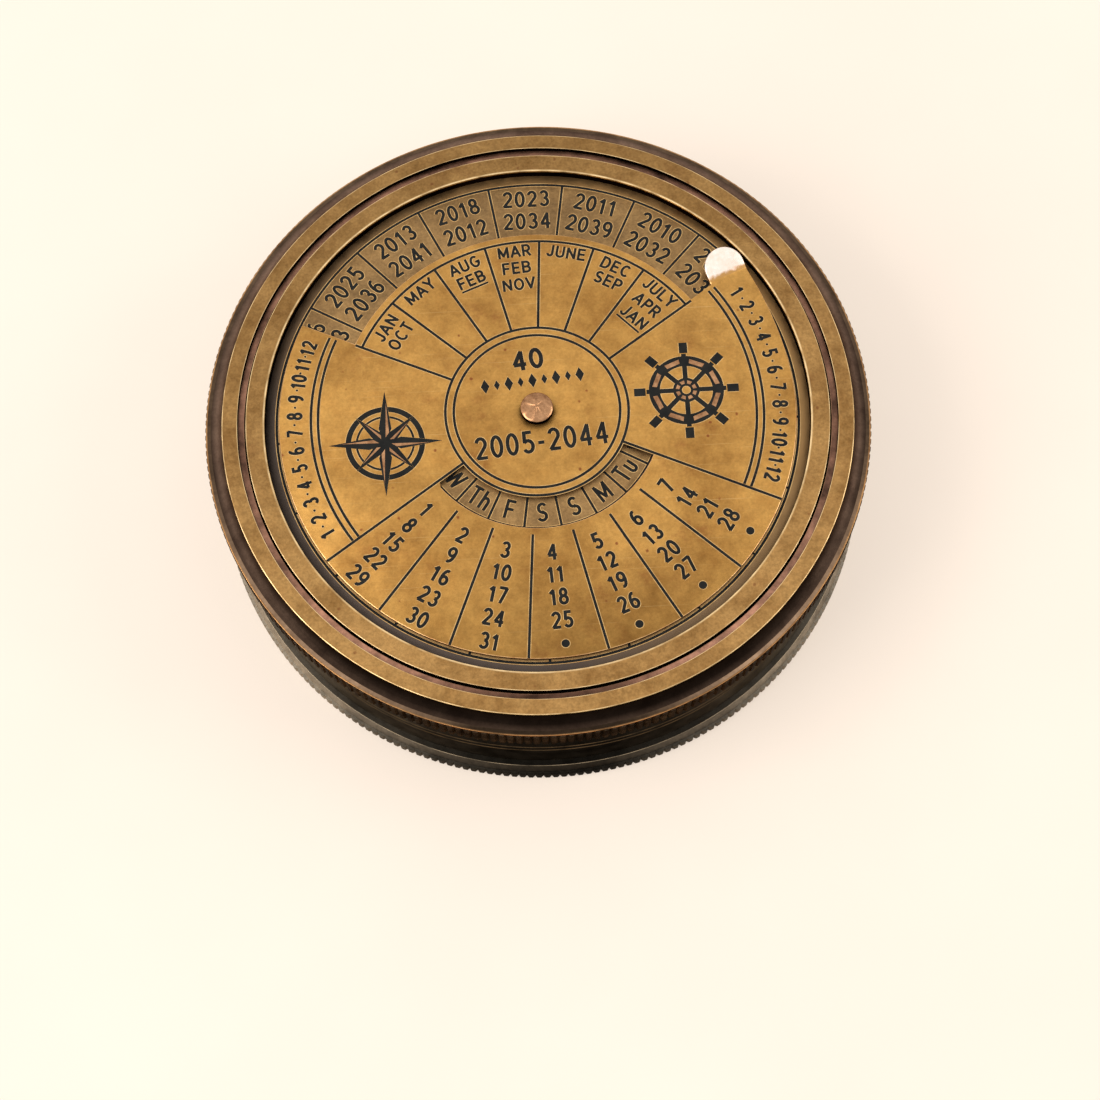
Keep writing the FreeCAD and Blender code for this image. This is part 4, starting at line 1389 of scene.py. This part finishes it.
    def spots(self, middle: Point, turn: float, places: Sequence[Point]) -> list[Point]:
        """Points round a middle of the disc.

        Args:
            middle: The middle.
            turn: Degrees clockwise of the viewer's up that every angle starts from.
            places: Angle and distance of each point.

        Returns:
            The points.
        """
        return [tuple(Vector(middle) + Vector(polar(1.0, self.turn + turn + angle)) * distance)
                for angle, distance in places]

    def lay_star(self, etching: Etching, middle: Point) -> None:
        """Lay a compass star with a ring round it, copper on one side of each point."""
        for radius, width in ((4.15, 0.62), (3.2, 0.25)):
            etching.circle(middle, radius, width)
        for numbers, reach, waist in (((1, 3, 5, 7), 4.6, 1.5), ((0, 2, 4, 6), 6.4, 1.9)):
            for turn in (45.0 * number for number in numbers):
                for side in (-22.5, 22.5):
                    corners = ((0.0, 0.0), (0.0, reach), (side, waist))
                    etching.shape(self.spots(middle, turn, corners))
                patch = ((4.0, 0.7), (19.0, waist * 0.72), (1.6, reach * 0.78))
                etching.glint(self.spots(middle, turn, patch))

    def lay_wheel(self, etching: Etching, middle: Point) -> None:
        """Lay a ship's wheel with eight spokes, copper on its hub and felloe."""
        rims = ((3.6, 1.25, 0.26), (1.0, 1.0, 0.2))
        for radius, width, _ in rims:
            etching.circle(middle, radius, width)
        for turn in (45.0 * number for number in range(8)):
            for inner, outer, width in ((0.9, 4.5, 0.55), (4.6, 5.9, 0.95)):
                etching.stroke(self.spots(middle, turn, ((0.0, inner), (0.0, outer))), width)
            for radius, _, half in rims:
                low, high = radius - half, radius + half
                patch = ((9.0, low), (36.0, low), (36.0, high), (9.0, high))
                etching.glint(self.spots(middle, turn, patch))


@dataclass
class YearPlate:
    """Fixed plate with the years at its rim and the weekdays round its middle."""

    line: float = 0.29
    border: float = 29.4
    year_foot: float = 22.2
    year_rows: Point = (27.55, 24.6)
    week_rings: Point = (10.2, 13.95)
    week_row: float = 12.05
    week_turn: float = 231.43

    def build(self) -> None:
        """Build the plate and its etching."""
        plate = softened_copy("year_plate", "plate_sheet", 0.03)
        dress(plate, Finish.PLATE)
        settle(plate, Body.LID, ["year_plate"])
        etching = Etching("plate_etching", height_of("year_plate"))
        etching.ring(self.border, self.line)
        for radius in self.week_rings:
            etching.ring(radius, self.line)
        for column, years in year_columns().items():
            angle = PITCH * column
            etching.ray(angle + PITCH / 2, self.year_foot, self.border, self.line)
            etching.ray(180.0 + angle + PITCH / 2, *self.week_rings, self.line)
            for radius, year in zip(self.year_rows, years):
                etching.word(str(year), radius, angle, 2.15, 0.17, 1.0)
            day = WEEKDAYS[(WEDNESDAY - column) % 7]
            etching.word(day, self.week_row, self.week_turn + angle, 2.25, 0.16, 1.0, inwards=True)
        settle(etching.build(), Body.LID)


@dataclass
class CentreRivet:
    """Hammered copper rivet and the burr that its tail closes on."""

    shank: float = 1.0
    tail: float = 1.5
    tail_thick: float = 0.5
    head: tuple[Point, ...] = (
        (1.72, 0.0), (1.82, 0.1), (1.82, 0.76), (1.76, 0.84), (1.6, 0.92), (1.3, 1.03), (0.9, 1.13),
        (0.5, 1.21), (0.2, 1.27),
    )
    rise: float = 1.3
    cone: float = 0.75
    facets: int = 7
    dent: float = 0.1
    steps: int = 84

    def build(self) -> None:
        """Build the rivet and dress the burr and the washer."""
        foot = height_of("centre_rivet", top=False)
        top = height_of("centre_rivet")
        seat = top - self.rise
        cuts = [Cut(0.0, foot, Finish.COPPER)]
        for angle in (math.radians(turn) for turn in range(15, 91, 15)):
            cuts.append(Cut(self.tail * math.sin(angle), foot + self.tail_thick * (1 - math.cos(angle)),
                            Finish.COPPER, 0.0))
        for height in (foot + self.tail_thick, seat):
            cuts.append(Cut(self.shank, height, Finish.COPPER, 0.0))
        # Below cone the head's side takes the near-black finish of painted shade.
        cuts += [Cut(radius, seat + height, Finish.COPPER if height > self.cone else Finish.WALL, 0.0)
                 for radius, height in self.head]
        cuts.append(Cut(0.0, top, Finish.COPPER))
        rivet = Turning("rivet_turned", cuts, self.steps).build()
        self.hammer(rivet, seat)
        settle(rivet, Body.LID, ["centre_rivet"])
        dress(frame["nodes"]["rivet_burr"], Finish.INSIDE)
        dress(frame["nodes"]["disc_washer"], Finish.FIBRE)

    def hammer(self, rivet: bpy.types.Object, seat: float) -> None:
        """Sink the head's face between its facets' edges.

        Args:
            rivet: The turned rivet.
            seat: Height of the disc's face under the head.
        """
        widest = max(radius for radius, _ in self.head)
        for vert in rivet.data.vertices:
            if vert.co.z / MM > seat + self.cone:
                reach = math.hypot(vert.co.x, vert.co.y) / MM / widest
                part = math.atan2(vert.co.y, vert.co.x) / math.tau * self.facets % 1.0
                sunk = math.sin(math.pi * part) * math.sin(math.pi * min(reach, 1.0))
                vert.co.z -= self.dent * sunk * MM


# Shells


@dataclass(frozen=True)
class Knurl:
    """Straight knurl round a band."""

    count: int = 252
    depth: float = 0.25
    tooth_share: float = 0.98

    def build(self, name: str, finish: Finish, radius: float, low: float,
              high: float) -> bpy.types.Object:
        """Build the teeth of a band.

        Args:
            name: Name of the piece.
            finish: Finish of the teeth.
            radius: Radius over the teeth.
            low: Height where they start.
            high: Height where they end.

        Returns:
            The piece.
        """
        root = radius - self.depth
        pitch = math.tau * root / self.count
        return MarkRing(name, MarkShape.RIDGE, finish, self.count, root, 2 * self.depth / RIDGE_FLAT,
                        pitch * self.tooth_share, high - low, (low + high) / 2).build()


@dataclass
class Lid:
    """Lid shell, its knurled grip band and the bezel ring."""

    bore: float = 34.68
    waist: float = 36.7
    grip: float = 37.5
    chamfer: float = 0.3
    band_rise: float = 4.9
    lip: float = 37.4
    lip_rise: float = 8.1
    lip_thick: float = 0.2
    lip_rub: float = 0.16
    cove_foot: float = 36.85
    cove: float = 1.476
    rim: float = 35.4
    rim_rise: float = 1.65
    web: float = 1.2
    groove_outer: float = 33.67
    groove_inner: float = 32.78
    groove_depth: float = 0.6
    groove_slope: float = 0.2
    rivet_hole: float = 1.02
    bezel_outer: float = 32.75
    bezel_inner: float = 30.62
    bezel_seat: float = 31.45
    bezel_step: float = 0.42
    knurl: Knurl = Knurl()

    def build(self) -> None:
        """Build the lid's shells."""
        foot = height_of("lid_shell", top=False)
        seat = height_of("year_plate", top=False)
        rim_top = seat + self.rim_rise
        ceiling = seat - self.web
        floor = rim_top - self.groove_depth
        lip_top = foot + self.lip_rise
        lip_foot = lip_top - self.lip_thick
        band_foot = foot + self.band_rise
        root = self.grip - self.knurl.depth
        cuts = [
            Cut(self.bore + self.chamfer, foot, Finish.WAIST),
            Cut(self.waist, foot, Finish.WAIST, 0.15),
            Cut(self.waist, band_foot, Finish.WAIST, 0.0),
            Cut(root, band_foot, Finish.WAIST, 0.03),
            Cut(root, lip_foot, Finish.LIP, 0.0),
            Cut(self.lip, lip_foot, Finish.LIP, 0.0),
            Cut(self.lip, lip_top, Finish.LIP_EDGE, 0.05),
            Cut(self.lip - self.lip_rub, lip_top, Finish.LIP_FLAT, 0.0),
            Cut(self.cove_foot, lip_top, Finish.COVE, 0.0),
        ]
        cuts += arc_cuts((self.cove_foot, lip_top), (self.rim, rim_top), self.cove, Finish.COVE)
        cuts += [
            Cut(self.rim, rim_top, Finish.RIM, 0.13),
            # The groove's walls take the near-black finish of painted shade.
            Cut(self.groove_outer, rim_top, Finish.WALL, 0.04),
            Cut(self.groove_outer, floor, Finish.GROOVE, 0.0),
            Cut(self.groove_inner + self.groove_slope, floor, Finish.WALL, 0.03),
            Cut(self.groove_inner, floor - self.groove_slope, Finish.WALL, 0.0),
            Cut(self.groove_inner, seat, Finish.INSIDE, 0.0),
            Cut(self.rivet_hole, seat, Finish.INSIDE, 0.0),
            Cut(self.rivet_hole, ceiling, Finish.INSIDE, 0.0),
            Cut(self.bore, ceiling, Finish.INSIDE, 0.0),
            Cut(self.bore, foot + self.chamfer, Finish.INSIDE, 0.05),
        ]
        shell = Turning("lid_turned", cuts).build()
        settle(shell, Body.LID, ["lid_shell"])
        teeth = self.knurl.build("grip_knurl", Finish.LIP, self.grip, band_foot, lip_foot)
        settle(teeth, Body.LID)
        self.build_bezel()

    def build_bezel(self) -> None:
        """Build the bright inner ring."""
        foot, top = height_of("bezel_ring", top=False), height_of("bezel_ring")
        step = foot + self.bezel_step
        ring = Turning("bezel_turned", [
            # The bezel's walls take the near-black finish of painted shade.
            Cut(self.bezel_seat, foot, Finish.WALL, 0.0),
            Cut(self.bezel_outer, foot, Finish.WALL, 0.0),
            Cut(self.bezel_outer, top, Finish.RIM, 0.05),
            Cut(self.bezel_inner, top, Finish.WALL, 0.12),
            Cut(self.bezel_inner, step, Finish.WALL, 0.0),
            Cut(self.bezel_seat, step, Finish.WALL, 0.0),
        ]).build()
        settle(ring, Body.LID, ["bezel_ring"])


@dataclass
class Case:
    """Base plate with its knurl, barrel and threaded neck ring."""

    flange: float = 38.1
    flange_thick: float = 1.4
    ledge: float = 0.35
    shoulder: float = 37.3
    register_outer: float = 33.4
    register_inner: float = 31.5
    barrel_bore: float = 33.45
    waist: float = 36.7
    deck_rise: float = 1.2
    deck_step: float = 0.4
    neck: float = 34.25
    neck_bore: float = 32.5
    seat_bore: float = 31.0
    seat_rise: float = 0.1
    thread_margins: Point = (0.35, 0.2)
    knurl: Knurl = Knurl()

    def build(self) -> None:
        """Build the case's shells."""
        root = self.flange - self.knurl.depth
        edge_top, base_top = self.flange_thick, height_of("case_barrel", top=False)
        register = height_of("base_plate")
        base = Turning("base_turned", [
            Cut(0.0, 0.0, Finish.FLANGE),
            Cut(root, 0.0, Finish.FLANGE, 0.08),
            Cut(root, edge_top, Finish.FLANGE, 0.0),
            Cut(self.flange - self.ledge, edge_top, Finish.FLANGE, 0.0),
            Cut(self.shoulder, base_top, Finish.WAIST, 0.03),
            Cut(self.register_outer, base_top, Finish.INSIDE, 0.0),
            Cut(self.register_outer, register, Finish.INSIDE),
            Cut(self.register_inner, register, Finish.INSIDE),
            Cut(self.register_inner, base_top, Finish.INSIDE, 0.0),
            Cut(0.0, base_top, Finish.INSIDE),
        ]).build()
        settle(base, Body.CASE, ["base_plate"])
        teeth = self.knurl.build("flange_knurl", Finish.FLANGE, self.flange, 0.0, edge_top - 0.01)
        settle(teeth, Body.CASE)
        self.build_drum()

    def build_drum(self) -> None:
        """Build the barrel and the neck ring with its thread."""
        low, high = height_of("case_barrel", top=False), height_of("case_barrel")
        barrel = Turning("barrel_turned", [
            Cut(self.barrel_bore, low, Finish.INSIDE, 0.0),
            Cut(self.waist, low, Finish.WAIST, 0.12),
            Cut(self.waist, high, Finish.WAIST, 0.12),
            Cut(self.barrel_bore, high, Finish.INSIDE, 0.0),
        ]).build()
        settle(barrel, Body.CASE, ["case_barrel"])
        foot, top = height_of("neck_ring", top=False), height_of("neck_ring")
        deck = high + self.deck_rise
        seat = deck + self.seat_rise
        neck = Turning("neck_turned", [
            Cut(self.seat_bore, foot, Finish.INSIDE, 0.0),
            Cut(self.register_outer, foot, Finish.INSIDE, 0.0),
            Cut(self.register_outer, high, Finish.INSIDE, 0.0),
            Cut(self.waist, high, Finish.WAIST, 0.12),
            Cut(self.waist, deck, Finish.WAIST, 0.12),
            Cut(self.waist - self.deck_step, deck, Finish.INSIDE, 0.0),
            Cut(self.neck, deck, Finish.INSIDE, 0.0),
            Cut(self.neck, top, Finish.INSIDE, 0.12),
            Cut(self.neck_bore, top, Finish.INSIDE, 0.12),
            Cut(self.neck_bore, seat, Finish.INSIDE, 0.0),
            Cut(self.seat_bore, seat, Finish.INSIDE, 0.0),
        ]).build()
        settle(neck, Body.CASE, ["neck_ring"])
        below, above = self.thread_margins
        settle(self.thread(deck + below, top - above), Body.CASE)

    def thread(self, low: float, high: float, pitch: float = 0.9, steps: int = 160) -> bpy.types.Object:
        """Build the neck's thread as one helical ridge.

        Args:
            low: Height where it starts.
            high: Height where it ends.
            pitch: Rise of one turn.
            steps: Parts of one turn.

        Returns:
            The piece.
        """
        root, crest, half, flat = 34.2, 34.6, 0.3, 0.06
        run_out = 30.0
        turns = (high - low - 2 * half) / pitch
        count = int(turns * steps)
        work = bmesh.new()
        loops = []
        for step in range(count + 1):
            ridge = root + (crest - root) * min(1.0, step / run_out, (count - step) / run_out)
            height = low + half + pitch * step / steps
            angle = -360.0 * step / steps
            loop = []
            for radius, offset in ((root, half), (ridge, flat), (ridge, -flat), (root, -half)):
                x, y = polar(radius, angle)
                loop.append(work.verts.new((x * MM, y * MM, (height + offset) * MM)))
            loops.append(loop)
        for one, two in zip(loops, loops[1:]):
            for corner in range(4):
                after = (corner + 1) % 4
                work.faces.new((one[corner], one[after], two[after], two[corner]))
        work.faces.new(list(reversed(loops[0])))
        work.faces.new(loops[-1])
        bmesh.ops.recalc_face_normals(work, faces=work.faces)
        piece = new_object("neck_thread", finished_mesh(work, "neck_thread"))
        dress(piece, Finish.INSIDE)
        return piece


@dataclass
class CompassWorks:
    """Dial, pivot, needle and glass under the lid."""

    dial_ring: float = 23.6
    rose_ring: float = 9.0
    rose_waist: float = 2.6
    reaches: tuple[float, ...] = (21.0, 9.0, 14.5, 9.0)
    letter_row: float = 19.4
    letter_drift: float = 12.0
    degrees: int = 72
    degree_row: float = 30.35

    def build(self) -> None:
        """Dress the inner pieces and print the dial."""
        nodes = frame["nodes"]
        plain = {
            "dial_card": Finish.CARD, "degree_ring": Finish.SILVERED, "pivot_boss": Finish.INSIDE,
            "pivot_pin": Finish.STEEL, "glass_gasket": Finish.RUBBER, "crystal_glass": Finish.GLASS,
            "glass_ring": Finish.INSIDE, "needle_cap": Finish.INSIDE, "cap_jewel": Finish.JEWEL,
        }
        for node, finish in plain.items():
            dress(nodes[node], finish)
        needle = softened_copy("compass_needle", "needle_blued", 0.08)
        work = bmesh.new()
        work.from_mesh(needle.data)
        bmesh.ops.triangulate(work, faces=work.faces)
        bmesh.ops.bisect_plane(work, geom=[*work.verts, *work.edges, *work.faces],
                               plane_co=(0.0, 0.0, 0.0), plane_no=(0.0, 1.0, 0.0))
        work.to_mesh(needle.data)
        work.free()
        dress(needle, Finish.BLUED, Finish.STEEL)
        for face in needle.data.polygons:
            if face.center.y < 0.0:
                face.material_index = 1
        settle(needle, Body.NEEDLE, ["compass_needle"])
        self.print_card()

    def print_card(self) -> None:
        """Print the rose and the four quarters on the card, the degrees on the ring."""
        card = Etching("card_print", height_of("dial_card"), rim_width=0.0, rim_height=0.005)
        card.ring(self.dial_ring, 0.25)
        card.ring(self.rose_ring, 0.2)
        for number in range(16):
            angle = 22.5 * number
            tip, centre = polar(self.reaches[number % 4], angle), (0.0, 0.0)
            card.shape([centre, tip, polar(self.rose_waist, angle + 11.25)])
            card.stroke([polar(self.rose_waist, angle - 11.25), tip], 0.12)
        for quarter, text in enumerate("NESW"):
            card.word(text, self.letter_row, 90.0 * quarter + self.letter_drift, 2.6, 0.15)
        settle(card.build(), Body.CASE)
        ticks = MarkRing("degree_ticks", MarkShape.BAR, Finish.ETCH, self.degrees, self.degree_row,
                         1.1, 0.14, 0.04, height_of("degree_ring") + 0.001).build()
        settle(ticks, Body.CASE)


# Stage, light and camera


@dataclass(frozen=True)
class PhotoCamera:
    """Camera fitted to the rings of the photograph."""

    focal_px: float = 1800.23
    image_px: float = 1100.0
    centre_x: float = 532.45
    centre_y: float = 550.72
    tilt: float = 70.13
    roll: float = 3.84
    yaw: float = 0.9
    offset: tuple[float, float, float] = (0.486, -16.006, 201.74)
    plane: float = 18.0

    def build(self) -> None:
        """Add the camera and make it the scene's."""
        tilt, roll = math.radians(self.tilt), math.radians(self.roll)
        level = Matrix(((1, 0, 0), (0, -math.sin(tilt), -math.cos(tilt)),
                        (0, math.cos(tilt), -math.sin(tilt))))
        rolled = Matrix(((math.cos(roll), math.sin(roll), 0), (-math.sin(roll), math.cos(roll), 0),
                         (0, 0, 1))) @ level
        view = rolled @ Matrix.Rotation(math.radians(-self.yaw), 3, "Z")
        place = -(view.transposed() @ Vector(self.offset)) + Vector((0.0, 0.0, self.plane))
        right, up, back = view[0].copy(), -view[1], -view[2]
        data = bpy.data.cameras.new("photo_camera")
        data.sensor_width = 36.0
        data.lens = self.focal_px * data.sensor_width / self.image_px
        data.shift_x = (self.image_px / 2 - self.centre_x) / self.image_px
        data.shift_y = (self.centre_y - self.image_px / 2) / self.image_px
        data.clip_start, data.clip_end = 0.01, 20.0
        camera = bpy.data.objects.new("photo_camera", data)
        rotation = Matrix((right, up, back)).transposed().to_4x4()
        camera.matrix_world = Matrix.Translation(place * MM) @ rotation
        bpy.context.scene.collection.objects.link(camera)
        bpy.context.scene.camera = camera


@dataclass(frozen=True)
class SoftBox:
    """Square studio lamp that faces the compass."""

    name: str
    place: tuple[float, float, float]
    size: float
    power: float
    colour: Colour = (1.0, 0.98, 0.95)

    def build(self) -> None:
        """Add the lamp."""
        data = bpy.data.lights.new(self.name, "AREA")
        data.size = self.size
        data.energy = self.power
        data.color = self.colour
        lamp = bpy.data.objects.new(self.name, data)
        lamp.location = self.place
        lamp.rotation_euler = (-Vector(self.place)).to_track_quat("-Z", "Y").to_euler()
        bpy.context.scene.collection.objects.link(lamp)


@dataclass(frozen=True)
class Studio:
    """Plain pale floor, even sky and soft lamps."""

    floor_colour: Colour = tint(254, 238, 222)
    floor_half: float = 1.5
    floor_drop: float = 0.0002
    floor_cloud: float = 0.94
    floor_glow: float = 0.5
    sky_start: float = -0.6
    sky_low: float = 0.45
    sky_high: float = 1.0
    sky_side: tuple[float, float, float] = (-0.35, 0.5, 0.79)
    lamps: tuple[SoftBox, ...] = (
        SoftBox("key_softbox", (-0.62, -0.22, 0.5), 0.55, 4.5),
        SoftBox("side_softbox", (0.7, -0.05, 0.4), 0.5, 2.0),
    )

    def build(self) -> None:
        """Add floor, sky and lamps."""
        scene = bpy.context.scene
        scene.view_settings.view_transform = "Standard"
        for lamp in self.lamps:
            lamp.build()
        self.build_sky()
        mesh = bpy.data.meshes.new("floor")
        half = self.floor_half
        mesh.from_pydata([(-half, -half, 0), (half, -half, 0), (half, half, 0), (-half, half, 0)],
                         [], [(0, 1, 2, 3)])
        floor = new_object("floor", mesh)
        floor.location.z = -self.floor_drop
        mesh.materials.append(self.floor_material())

    def seen_share(self, tree: bpy.types.NodeTree) -> bpy.types.NodeSocket:
        """Socket that is 1 for camera, glossy and transmission rays."""
        rays = tree.nodes.new("ShaderNodeLightPath")
        total = None
        for name in ("Is Camera Ray", "Is Glossy Ray", "Is Transmission Ray"):
            if total is None:
                total = rays.outputs[name]
                continue
            node = tree.nodes.new("ShaderNodeMath")
            node.operation = "MAXIMUM"
            tree.links.new(total, node.inputs[0])
            tree.links.new(rays.outputs[name], node.inputs[1])
            total = node.outputs[0]
        return total

    def build_sky(self) -> None:
        """Give the world a soft light, stronger on one side, and the floor's colour where seen."""
        world = bpy.data.worlds.new("studio_sky")
        bpy.context.scene.world = world
        world.use_nodes = True
        tree = world.node_tree
        light = tree.nodes["Background"]
        light.inputs["Color"].default_value = (1.0, 1.0, 1.0, 1.0)
        way = tree.nodes.new("ShaderNodeTexCoord")
        side = tree.nodes.new("ShaderNodeVectorMath")
        side.operation = "DOT_PRODUCT"
        side.inputs[1].default_value = self.sky_side
        level = tree.nodes.new("ShaderNodeMapRange")
        level.inputs["From Min"].default_value = self.sky_start
        level.inputs["To Min"].default_value = self.sky_low
        level.inputs["To Max"].default_value = self.sky_high
        tree.links.new(way.outputs["Generated"], side.inputs[0])
        tree.links.new(side.outputs["Value"], level.inputs["Value"])
        tree.links.new(level.outputs["Result"], light.inputs["Strength"])
        seen = tree.nodes.new("ShaderNodeBackground")
        seen.inputs["Color"].default_value = (*self.floor_colour, 1.0)
        seen.inputs["Strength"].default_value = 1.0
        mix = tree.nodes.new("ShaderNodeMixShader")
        rays = tree.nodes.new("ShaderNodeLightPath")
        tree.links.new(rays.outputs["Is Camera Ray"], mix.inputs[0])
        tree.links.new(light.outputs[0], mix.inputs[1])
        tree.links.new(seen.outputs[0], mix.inputs[2])
        tree.links.new(mix.outputs[0], tree.nodes["World Output"].inputs["Surface"])

    def floor_material(self) -> bpy.types.Material:
        """Matt floor that keeps the shadow and reads as its own colour."""
        shader = Shader("floor_cream")
        shader.surface.inputs["Roughness"].default_value = 0.9
        share = shader.window(shader.noise(shader.place(), 40.0), 0.3, 0.7)
        colour = tuple(part * self.floor_cloud for part in self.floor_colour)
        shader.join(shader.mix(share, colour, self.floor_colour), shader.surface.inputs["Base Color"])
        glow = shader.add("ShaderNodeEmission")
        glow.inputs["Color"].default_value = (*self.floor_colour, 1.0)
        blend = shader.add("ShaderNodeMixShader")
        seen = shader.calculate("MULTIPLY", self.seen_share(shader.tree), self.floor_glow)
        shader.join(seen, blend.inputs[0])
        shader.join(shader.surface.outputs[0], blend.inputs[1])
        shader.join(glow.outputs[0], blend.inputs[2])
        shader.join(blend.outputs[0], shader.tree.nodes["Material Output"].inputs["Surface"])
        return shader.material


def main() -> None:
    """Build the stage and every piece."""
    logging.basicConfig(level=logging.INFO, format="%(message)s")
    PhotoCamera().build()
    Studio().build()
    for assembly in (Case(), CompassWorks(), Lid(), YearPlate(), CalendarDisc(), CentreRivet()):
        LOG.info("building %s", type(assembly).__name__)
        assembly.build()


if __name__ == "__main__":
    main()
